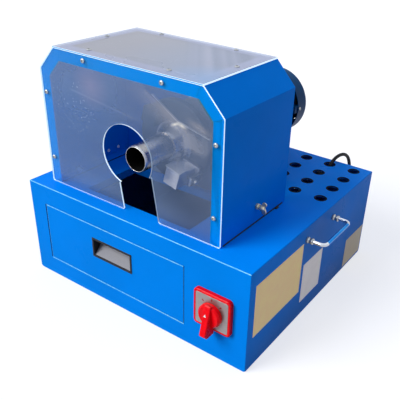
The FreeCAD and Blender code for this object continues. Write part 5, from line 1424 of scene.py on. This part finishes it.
class SKIVER_OT_hood(bpy.types.Operator):
    """Dresses the hood's folded sides and its front and rear frames"""
    bl_idname = "skiver.hood"
    bl_label = "Hood"

    def execute(self, context):
        edge = context.scene.skiver_sheet.edge
        for node in ("hood_left_wall", "hood_right_wall", "hood_front_frame", "hood_rear_frame"):
            dress(node, "hood", finish("powder_coat"), edge * 0.8)
        for end in ("front", "rear"):
            dress(f"hood_hinge_{end}", "hood", finish("dull_zinc"), 0.25 * MM)
            dress(f"deck_hinge_{end}", "cabinet", finish("dull_zinc"), 0.25 * MM)
        self.make_foot()
        self.make_liner()
        return {"FINISHED"}

    def make_foot(self):
        """Folded foot and bolts inside the left wall, and dark strips under both walls as painted shade."""
        left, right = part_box("hood_left_wall"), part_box("hood_right_wall")
        front, rear = left[0].y + 4 * MM, left[1].y - 6 * MM
        inside = left[0].x + 2 * MM
        foot = block((inside - 0.5 * MM, front, DECK + 1.4 * MM), (inside + 19 * MM, rear, DECK + 2.9 * MM),
                     0.4 * MM)
        give(foot, "hood_left_foot", "hood", finish("powder_coat"))
        # Painted shade: dark strips on the deck under the left foot and along the right wall's foot.
        for name, low_x, high_x, height in (
                ("hood_left_painted_shade", inside + 2 * MM, inside + 19.4 * MM, 1.5 * MM),
                ("hood_right_painted_shade", right[1].x - 1.6 * MM, right[1].x + 0.6 * MM, 2.9 * MM)):
            shade_strip = block((low_x, front, DECK + 0.1 * MM), (high_x, rear, DECK + height), 0.3 * MM)
            give(shade_strip, name, "hood", finish("switch_black"))
        bolt = make_bolt((inside, 0, 0), RIGHT, FOOT_BOLT_RADIUS * MM, "pale_steel")
        places = [(0, y * MM, FOOT_BOLT_HEIGHT * MM) for y in FOOT_BOLT_ROWS]
        copies(bolt, "hood_foot_bolt", places, "hood")
        stop = block((right[1].x - 1 * MM, -36 * MM, DECK),
                     (right[1].x + 4.5 * MM, -26.5 * MM, DECK + 2.2 * MM), 0.9 * MM, 3)
        give(stop, "hood_stop", "cabinet", finish("switch_black"))

    def make_liner(self):
        """Cover plate screwed behind the rear plate, cut close round the motor's flange."""
        flange_low, flange_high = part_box("motor_flange")
        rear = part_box("hood_rear_frame")[1].y
        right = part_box("hood_right_wall")[1].x - 6 * MM
        outside = rear + 0.1 * MM + LINER_THICKNESS
        top = DECK + LINER_HEIGHT
        liner = block((LINER_LEFT, rear + 0.1 * MM, DECK + 2 * MM), (right, outside, top))
        cutter = block((flange_low.x - 9 * MM, rear - 5 * MM, DECK - 5 * MM),
                       (right - 15 * MM, rear + 9 * MM, flange_high.z + 3 * MM))
        apply_modifier(liner, "BOOLEAN", operation="DIFFERENCE", object=cutter, solver="EXACT")
        bpy.data.objects.remove(cutter)
        soften(liner, 0.4 * MM)
        give(liner, "hood_rear_liner", "hood", finish("powder_coat"))
        screw = make_screw((0, outside, 0), REAR, 3.4 * MM)
        places = [(LINER_LEFT + 7 * MM, 0, DECK + rise * MM) for rise in LINER_SIDE_SCREWS]
        places += [(x * MM, 0, top - 8 * MM) for x in LINER_TOP_SCREWS]
        copies(screw, "liner_screw", places, "hood")


class SKIVER_OT_plates(bpy.types.Operator):
    """Fits the clear front and top plates and their screws"""
    bl_idname = "skiver.plates"
    bl_label = "Clear plates"

    def execute(self, context):
        bevel = context.scene.skiver_plates.edge_bevel
        radius = context.scene.skiver_sheet.screw_radius
        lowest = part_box("front_window")[0].z + 1 * MM

        def foot_corner(first, second):
            """Whether an edge runs through the front plate at one of its lower corners."""
            return max(first.z, second.z) < lowest and abs((second - first).normalized().y) > 0.99

        front = self.fit("front_window", FRONT, "front_plate", bevel, (4 * MM, foot_corner))
        # The keyhole's right edge gets the darker edge finish: painted shade.
        recolour(front, finish("plate_edge_dim"), self.beside_keyhole)
        top = self.fit("top_window", UP, "top_plate", bevel * 0.7)
        recolour(top, finish("plate_side"), lambda face: face.normal.y < -0.97)
        screw = make_screw((0, PLATE_Y, 0), FRONT, radius)
        places = [(x * MM, 0, z * MM) for x, z in FRONT_PLATE_SCREWS]
        copies(screw, "front_plate_screw", places, "hood")
        screw = make_screw((0, 0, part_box("top_window")[1].z), UP, radius, 0.5)
        places = [(x * MM, y * MM, 0) for x, y in TOP_PLATE_SCREWS]
        copies(screw, "top_plate_screw", places, "hood")
        return {"FINISHED"}

    def fit(self, node, normal, face_finish, width, corners=None):
        """Dresses a clear plate, with a pale edge all round it that glows as painted light."""
        plate = dress(node, "hood", finish(face_finish), width, corners=corners)
        recolour(plate, finish("plate_edge"), lambda face: abs(face.normal.dot(normal)) < 0.9)
        return plate

    def beside_keyhole(self, face):
        """Whether a face is on the keyhole's right edge, which is turned away from the light."""
        place = face.center
        within = 0 < place.x < KEYHOLE_REACH and DECK + 3 * MM < place.z < DECK + KEYHOLE_HEIGHT
        return within and abs(face.normal.y) < 0.9


class SKIVER_OT_latch(bpy.types.Operator):
    """Makes the hood's wing screw and dresses its tab"""
    bl_idname = "skiver.latch"
    bl_label = "Latch"

    def execute(self, context):
        dress("latch_tab", "cabinet", finish("powder_coat"), 0.3 * MM)
        self.make_wing_screw()
        return {"FINISHED"}

    def make_wing_screw(self):
        """Stud with its collar nut, and a winged head whose wings flare outwards."""
        low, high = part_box("wing_screw")
        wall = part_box("hood_right_wall")[1].x
        centre = Vector((0, (low.y + high.y) / 2, (low.z + high.z) / 2))
        stud = [(low.x, 2.2 * MM), (low.x + 0.8 * MM, 3 * MM), (wall + 14 * MM, 3 * MM)]
        pieces = [turned(centre, RIGHT, stud, 24)]
        for outline, sides in ((WING_NUT, 6), (WING_HUB, 32)):
            pieces.append(turned(centre + RIGHT * wall, RIGHT, in_metres(outline), sides))
        for side in (1, -1):
            root = centre + Vector((wall + 9.5 * MM, 0, side * 2.5 * MM))
            tip = root + Vector((9 * MM, 0, side * 10.5 * MM))
            low_z, high_z = sorted((root.z, tip.z))
            wing = sheet_between((root.x, root.y - WING_HALF, low_z), (tip.x, root.y + WING_HALF, high_z),
                                 FRONT, 3.6 * MM)
            turn(wing, side * WING_FLARE, "Y", root)
            pieces.append(wing)
        screw = join(pieces)
        soften(screw, 0.4 * MM, 2, 35)
        give(screw, "wing_screw_winged", "latch_screw", finish("brassy_zinc"),
             ("wing_screw",))


# Head

# The gear case's foot: its height, half the span of its bolts, and their two rows.
CASE_FOOT = 12 * MM
CASE_BOLT_SPAN = 86 * MM
CASE_BOLT_ROWS = (-41 * MM, -15 * MM)

# The collar's flare, by share of its length from the face plate and radius in millimetres, and its bore.
COLLAR_FLARE = [
    (0.0, 42.5), (0.068, 42.5), (0.074, 38.2), (0.12, 37.6), (0.19, 35.4), (0.27, 32.6), (0.42, 31.2),
    (0.6, 30.0), (0.78, 28.8), (0.94, 27.8), (1.0, 27.0),
]
COLLAR_BORE = 24.2 * MM
COLLAR_MOUTH = 25.1 * MM


class SKIVER_OT_head(bpy.types.Operator):
    """Dresses the gear case, the face plate, the mandrel and the knife"""
    bl_idname = "skiver.head"
    bl_label = "Head"

    def execute(self, context):
        for node in ("gear_case", "case_cover"):
            dress(node, "cabinet", finish("case_enamel"), 1.2 * MM, 3)
        paint(finish("turned_steel"), "front_bearing", "rear_bearing", "spindle_shaft", "spindle_gear",
              "motor_pinion", "rotor_shaft")
        dress("face_plate", "spindle", finish("faced_steel"), 0.3 * MM)
        self.make_collar()
        self.make_mandrel()
        low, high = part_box("gear_case")
        centre = (low.x + high.x) / 2
        bolt = make_bolt((0, 0, DECK + CASE_FOOT), UP, 6.2 * MM)
        places = [(centre + side * CASE_BOLT_SPAN, y, 0) for side in (-1, 1) for y in CASE_BOLT_ROWS]
        copies(bolt, "case_bolt", places, "cabinet")
        guide = dress("knife_guide", "spindle", finish("faced_steel"), 0.5 * MM)
        # Painted highlight: the guide's front faces get a paler milled steel than its sides.
        recolour(guide, finish("milled_steel"), self.faces_front)
        dress("balance_weight", "spindle", finish("faced_steel"), 0.5 * MM)
        arm = dress("knife_arm", "tool_arm", finish("milled_steel"), 0.4 * MM)
        # Painted highlight: the arm's front faces get the pale steel.
        recolour(arm, finish("pale_steel"), self.faces_front)
        dress("knife", "tool_arm", finish("milled_steel"), 0.4 * MM)
        dress("adjusting_screw", "tool_screw", finish("zinc"), 0.3 * MM)
        return {"FINISHED"}

    def faces_front(self, face):
        """Whether a face looks to the front."""
        return face.normal.y < -0.9

    def make_collar(self):
        """Collar that flares from the mandrel out on to the face plate."""
        low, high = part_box("mandrel_collar")
        centre = Vector(((low.x + high.x) / 2, high.y, (low.z + high.z) / 2))
        length = high.y - low.y
        flare = [(along * length, radius * MM) for along, radius in COLLAR_FLARE]
        stations = [(0.0, COLLAR_BORE)] + flare + [(length, COLLAR_MOUTH)]
        collar = turned(centre, FRONT, stations, 96, hollow=True)
        soften(collar, 0.15 * MM, 2, 35)
        give(collar, "mandrel_collar_turned", "spindle", finish("turned_steel"),
             ("mandrel_collar",))

    def make_mandrel(self):
        """Hollow turned mandrel with its bevelled lip in a paler steel as a painted highlight, its bore near
        black as painted shade, and a scribed line behind it.
        """
        low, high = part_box("mandrel")
        centre = Vector(((low.x + high.x) / 2, high.y, (low.z + high.z) / 2))
        length = high.y - low.y
        outer = (high.x - low.x) / 2
        bore = outer - 2.6 * MM
        socket = 20 * MM
        stations = [
            (0.0, bore), (0.0, outer - 1.0 * MM), (socket, outer - 1.0 * MM), (socket, outer),
            (length - 13.4 * MM, outer), (length - 13.1 * MM, outer - 0.3 * MM),
            (length - 12.4 * MM, outer - 0.3 * MM), (length - 12.1 * MM, outer),
            (length - 4.2 * MM, outer), (length - 3.4 * MM, outer - 0.5 * MM),
            (length - 1.0 * MM, outer - 1.5 * MM), (length, outer - 2.0 * MM),
            (length, bore + 0.15 * MM), (length - 0.4 * MM, bore),
        ]
        mandrel = turned(centre, FRONT, stations, 96, hollow=True)
        soften(mandrel, 0.12 * MM, 2, 35)
        give(mandrel, "mandrel_turned", "spindle", finish("turned_steel"), ("mandrel",))
        # Painted highlight: the lip gets a paler steel.
        recolour(mandrel, finish("lip_painted_highlight"), lambda face: face.center.y < low.y + 3.6 * MM)

        def in_bore(face):
            """Whether a face is on the wall of the bore."""
            return math.hypot(face.center.x - centre.x, face.center.z - centre.z) < bore + 0.1 * MM

        # Painted shade: the bore is near black.
        recolour(mandrel, finish("painted_shade_black"), in_bore)


# Motor

# The disc behind the fan's blades: its bore, its rim and how thick it is.
FAN_DISC_BORE = 12 * MM
FAN_DISC_RADIUS = 58 * MM
FAN_DISC_THICKNESS = 1.4 * MM
COWL_SCREWS = 4


class SKIVER_OT_motor(bpy.types.Operator):
    """Dresses the flange motor, its fan cowl and terminal box"""
    bl_idname = "skiver.motor"
    bl_label = "Motor"

    def execute(self, context):
        enamel = finish("motor_enamel")
        for node, width in (("motor_flange", 0.8), ("motor_stator", 0.3), ("terminal_box", 1.4)):
            dress(node, "cabinet", enamel, width * MM)
        paint(enamel, "fan_cowl")
        paint(finish("switch_black"), "motor_fan")
        self.make_fan_disc()
        self.make_cowl_screws()
        return {"FINISHED"}

    def make_fan_disc(self):
        """Disc that carries the fan's blades and closes the view through the cowl."""
        low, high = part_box("motor_fan")
        section = [(0.0, FAN_DISC_BORE), (0.0, FAN_DISC_RADIUS), (FAN_DISC_THICKNESS, FAN_DISC_RADIUS),
                   (FAN_DISC_THICKNESS, FAN_DISC_BORE)]
        centre = ((low.x + high.x) / 2, high.y - 1.8 * MM, (low.z + high.z) / 2)
        disc = turned(centre, REAR, section, 64, hollow=True)
        soften(disc, 0.3 * MM, 2, 35)
        give(disc, "fan_disc", "rotor", finish("switch_black"))

    def make_cowl_screws(self):
        """Screws round the cowl's front rim."""
        low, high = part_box("fan_cowl")
        centre = Vector(((low.x + high.x) / 2, 0, (low.z + high.z) / 2))
        radius = (high.x - low.x) / 2
        for number in range(COWL_SCREWS):
            angle = number * math.tau / COWL_SCREWS
            way = Vector((math.cos(angle), 0, math.sin(angle)))
            screw = make_screw(centre + way * radius + REAR * (low.y + 6 * MM), way, 3.6 * MM)
            give(screw, f"cowl_screw_{number + 1}", "cabinet", None)


# Stage

FLOOR_SIZE = 12
FLOOR_DROP = 0.2 * MM

# The way to the key light from the object, and how wide each of the two far lights looks.
KEY_LIGHT_WAY = Vector((-0.45, -0.67, 0.58))
KEY_LIGHT_WIDTH = math.radians(36)
OVERHEAD_WIDTH = math.radians(110)

KEY_COLOUR = (1.0, 0.985, 0.96)
OVERHEAD_COLOUR = (0.62, 0.8, 1.0)
INSIDE_COLOUR = (0.86, 0.93, 1.0)
AMBIENT_COLOUR = (0.7, 0.72, 1.0, 1)
WHITE = (1, 1, 1, 1)

# The floor's own greys, dim to other rays and paler where it is seen, and the lift that makes it near white.
FLOOR_DIM = (0.33, 0.33, 0.34, 1)
FLOOR_PALE = (0.42, 0.42, 0.43, 1)
FLOOR_LIFT = 0.66


class SKIVER_OT_stage(bpy.types.Operator):
    """Lays the pale floor and sets the lights"""
    bl_idname = "skiver.stage"
    bl_label = "Stage"

    def execute(self, context):
        settings = context.scene.skiver_stage
        deselect_all()
        bpy.ops.mesh.primitive_plane_add(size=FLOOR_SIZE, location=(0, 0, -FLOOR_DROP))
        floor = context.object
        floor.name = "floor"
        floor.data.materials.append(self.make_floor())
        self.make_far_light("key_light", KEY_LIGHT_WAY, settings.sun, KEY_LIGHT_WIDTH, KEY_COLOUR)
        self.make_far_light("overhead_light", UP, settings.overhead, OVERHEAD_WIDTH, OVERHEAD_COLOUR)
        self.make_inside_light(settings.inside)
        self.make_world(settings.ambient)
        context.scene.view_settings.view_transform = "Standard"
        return {"FINISHED"}

    def make_far_light(self, name, way, strength, width, colour):
        """A sun that stands in the way's direction: the key, or a bluish one overhead like an open sky."""
        deselect_all()
        bpy.ops.object.light_add(type="SUN", location=UP, rotation=way.to_track_quat("Z", "Y").to_euler())
        light = bpy.context.object
        light.name = name
        light.data.energy = strength
        light.data.angle = width
        light.data.color = colour

    def make_inside_light(self, power):
        """Stands for the daylight that the plates let into the hood; only what it lights is seen."""
        low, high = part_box("top_window")
        inset = 30 * MM
        deselect_all()
        place = ((low.x + high.x) / 2, (low.y + high.y) / 2, low.z - 14 * MM)
        bpy.ops.object.light_add(type="AREA", location=place)
        light = bpy.context.object
        light.name = "inside_light"
        light.data.shape = "RECTANGLE"
        light.data.size = high.x - low.x - inset
        light.data.size_y = high.y - low.y - inset
        light.data.energy = power
        light.data.color = INSIDE_COLOUR
        light.visible_camera = False

    def make_floor(self):
        """Pale floor: near white to the camera, with the object's shadow on it, and dim to other rays."""
        material = bpy.data.materials.new("pale_floor")
        material.use_nodes = True
        tree = material.node_tree
        tree.nodes.clear()
        output = tree.nodes.new("ShaderNodeOutputMaterial")
        rays = tree.nodes.new("ShaderNodeLightPath")
        dim = tree.nodes.new("ShaderNodeBsdfDiffuse")
        dim.inputs["Color"].default_value = FLOOR_DIM
        pale = tree.nodes.new("ShaderNodeBsdfDiffuse")
        pale.inputs["Color"].default_value = FLOOR_PALE
        lift = tree.nodes.new("ShaderNodeEmission")
        lift.inputs["Color"].default_value = WHITE
        lift.inputs["Strength"].default_value = FLOOR_LIFT
        seen = tree.nodes.new("ShaderNodeAddShader")
        tree.links.new(pale.outputs[0], seen.inputs[0])
        tree.links.new(lift.outputs[0], seen.inputs[1])
        choose = tree.nodes.new("ShaderNodeMixShader")
        tree.links.new(direct_rays(tree, rays), choose.inputs[0])
        tree.links.new(dim.outputs[0], choose.inputs[1])
        tree.links.new(seen.outputs[0], choose.inputs[2])
        tree.links.new(choose.outputs[0], output.inputs["Surface"])
        return material

    def make_world(self, ambient):
        """White to the camera and in reflections, and a dim even light otherwise."""
        world = bpy.data.worlds.new("studio")
        bpy.context.scene.world = world
        world.use_nodes = True
        tree = world.node_tree
        tree.nodes.clear()
        output = tree.nodes.new("ShaderNodeOutputWorld")
        rays = tree.nodes.new("ShaderNodeLightPath")
        white = tree.nodes.new("ShaderNodeBackground")
        white.inputs["Color"].default_value = WHITE
        even = tree.nodes.new("ShaderNodeBackground")
        even.inputs["Color"].default_value = AMBIENT_COLOUR
        even.inputs["Strength"].default_value = ambient
        choose = tree.nodes.new("ShaderNodeMixShader")
        tree.links.new(direct_rays(tree, rays), choose.inputs[0])
        tree.links.new(even.outputs[0], choose.inputs[1])
        tree.links.new(white.outputs[0], choose.inputs[2])
        tree.links.new(choose.outputs[0], output.inputs["Surface"])


def direct_rays(tree, rays):
    """A factor of 1 for camera, glossy and transmitted rays."""
    total = rays.outputs["Is Camera Ray"]
    for name in ("Is Glossy Ray", "Is Transmission Ray"):
        largest = tree.nodes.new("ShaderNodeMath")
        largest.operation = "MAXIMUM"
        tree.links.new(total, largest.inputs[0])
        tree.links.new(rays.outputs[name], largest.inputs[1])
        total = largest.outputs[0]
    return total


# Panel and registration

SETTINGS = {
    "skiver_paint": PaintSettings, "skiver_plates": PlateSettings, "skiver_sheet": SheetSettings,
    "skiver_lead": LeadSettings, "skiver_stage": StageSettings,
}
OPERATORS = (
    SKIVER_OT_camera, SKIVER_OT_mains_lead, SKIVER_OT_cabinet, SKIVER_OT_pull, SKIVER_OT_switch,
    SKIVER_OT_handles, SKIVER_OT_labels, SKIVER_OT_hood, SKIVER_OT_plates, SKIVER_OT_latch,
    SKIVER_OT_head, SKIVER_OT_motor, SKIVER_OT_stage,
)


class SKIVER_PT_panel(bpy.types.Panel):
    """Lists the settings and the pieces in the order they are made"""
    bl_idname = "SKIVER_PT_panel"
    bl_label = "Hose skiving machine"
    bl_space_type = "VIEW_3D"
    bl_region_type = "UI"
    bl_category = "Skiver"

    def draw(self, context):
        for name in SETTINGS:
            settings = getattr(context.scene, name)
            box = self.layout.box()
            for key in settings.__annotations__:
                box.prop(settings, key)
        for operator in OPERATORS:
            self.layout.operator(operator.bl_idname)


def register():
    for name, group in SETTINGS.items():
        bpy.utils.register_class(group)
        setattr(bpy.types.Scene, name, bpy.props.PointerProperty(type=group))
    for operator in OPERATORS:
        bpy.utils.register_class(operator)
    bpy.utils.register_class(SKIVER_PT_panel)


def unregister():
    bpy.utils.unregister_class(SKIVER_PT_panel)
    for operator in reversed(OPERATORS):
        bpy.utils.unregister_class(operator)
    for name, group in SETTINGS.items():
        delattr(bpy.types.Scene, name)
        bpy.utils.unregister_class(group)


def main():
    register()
    for operator in OPERATORS:
        group, name = operator.bl_idname.split(".")
        getattr(getattr(bpy.ops, group), name)()
    deselect_all()


if __name__ == "__main__":
    main()
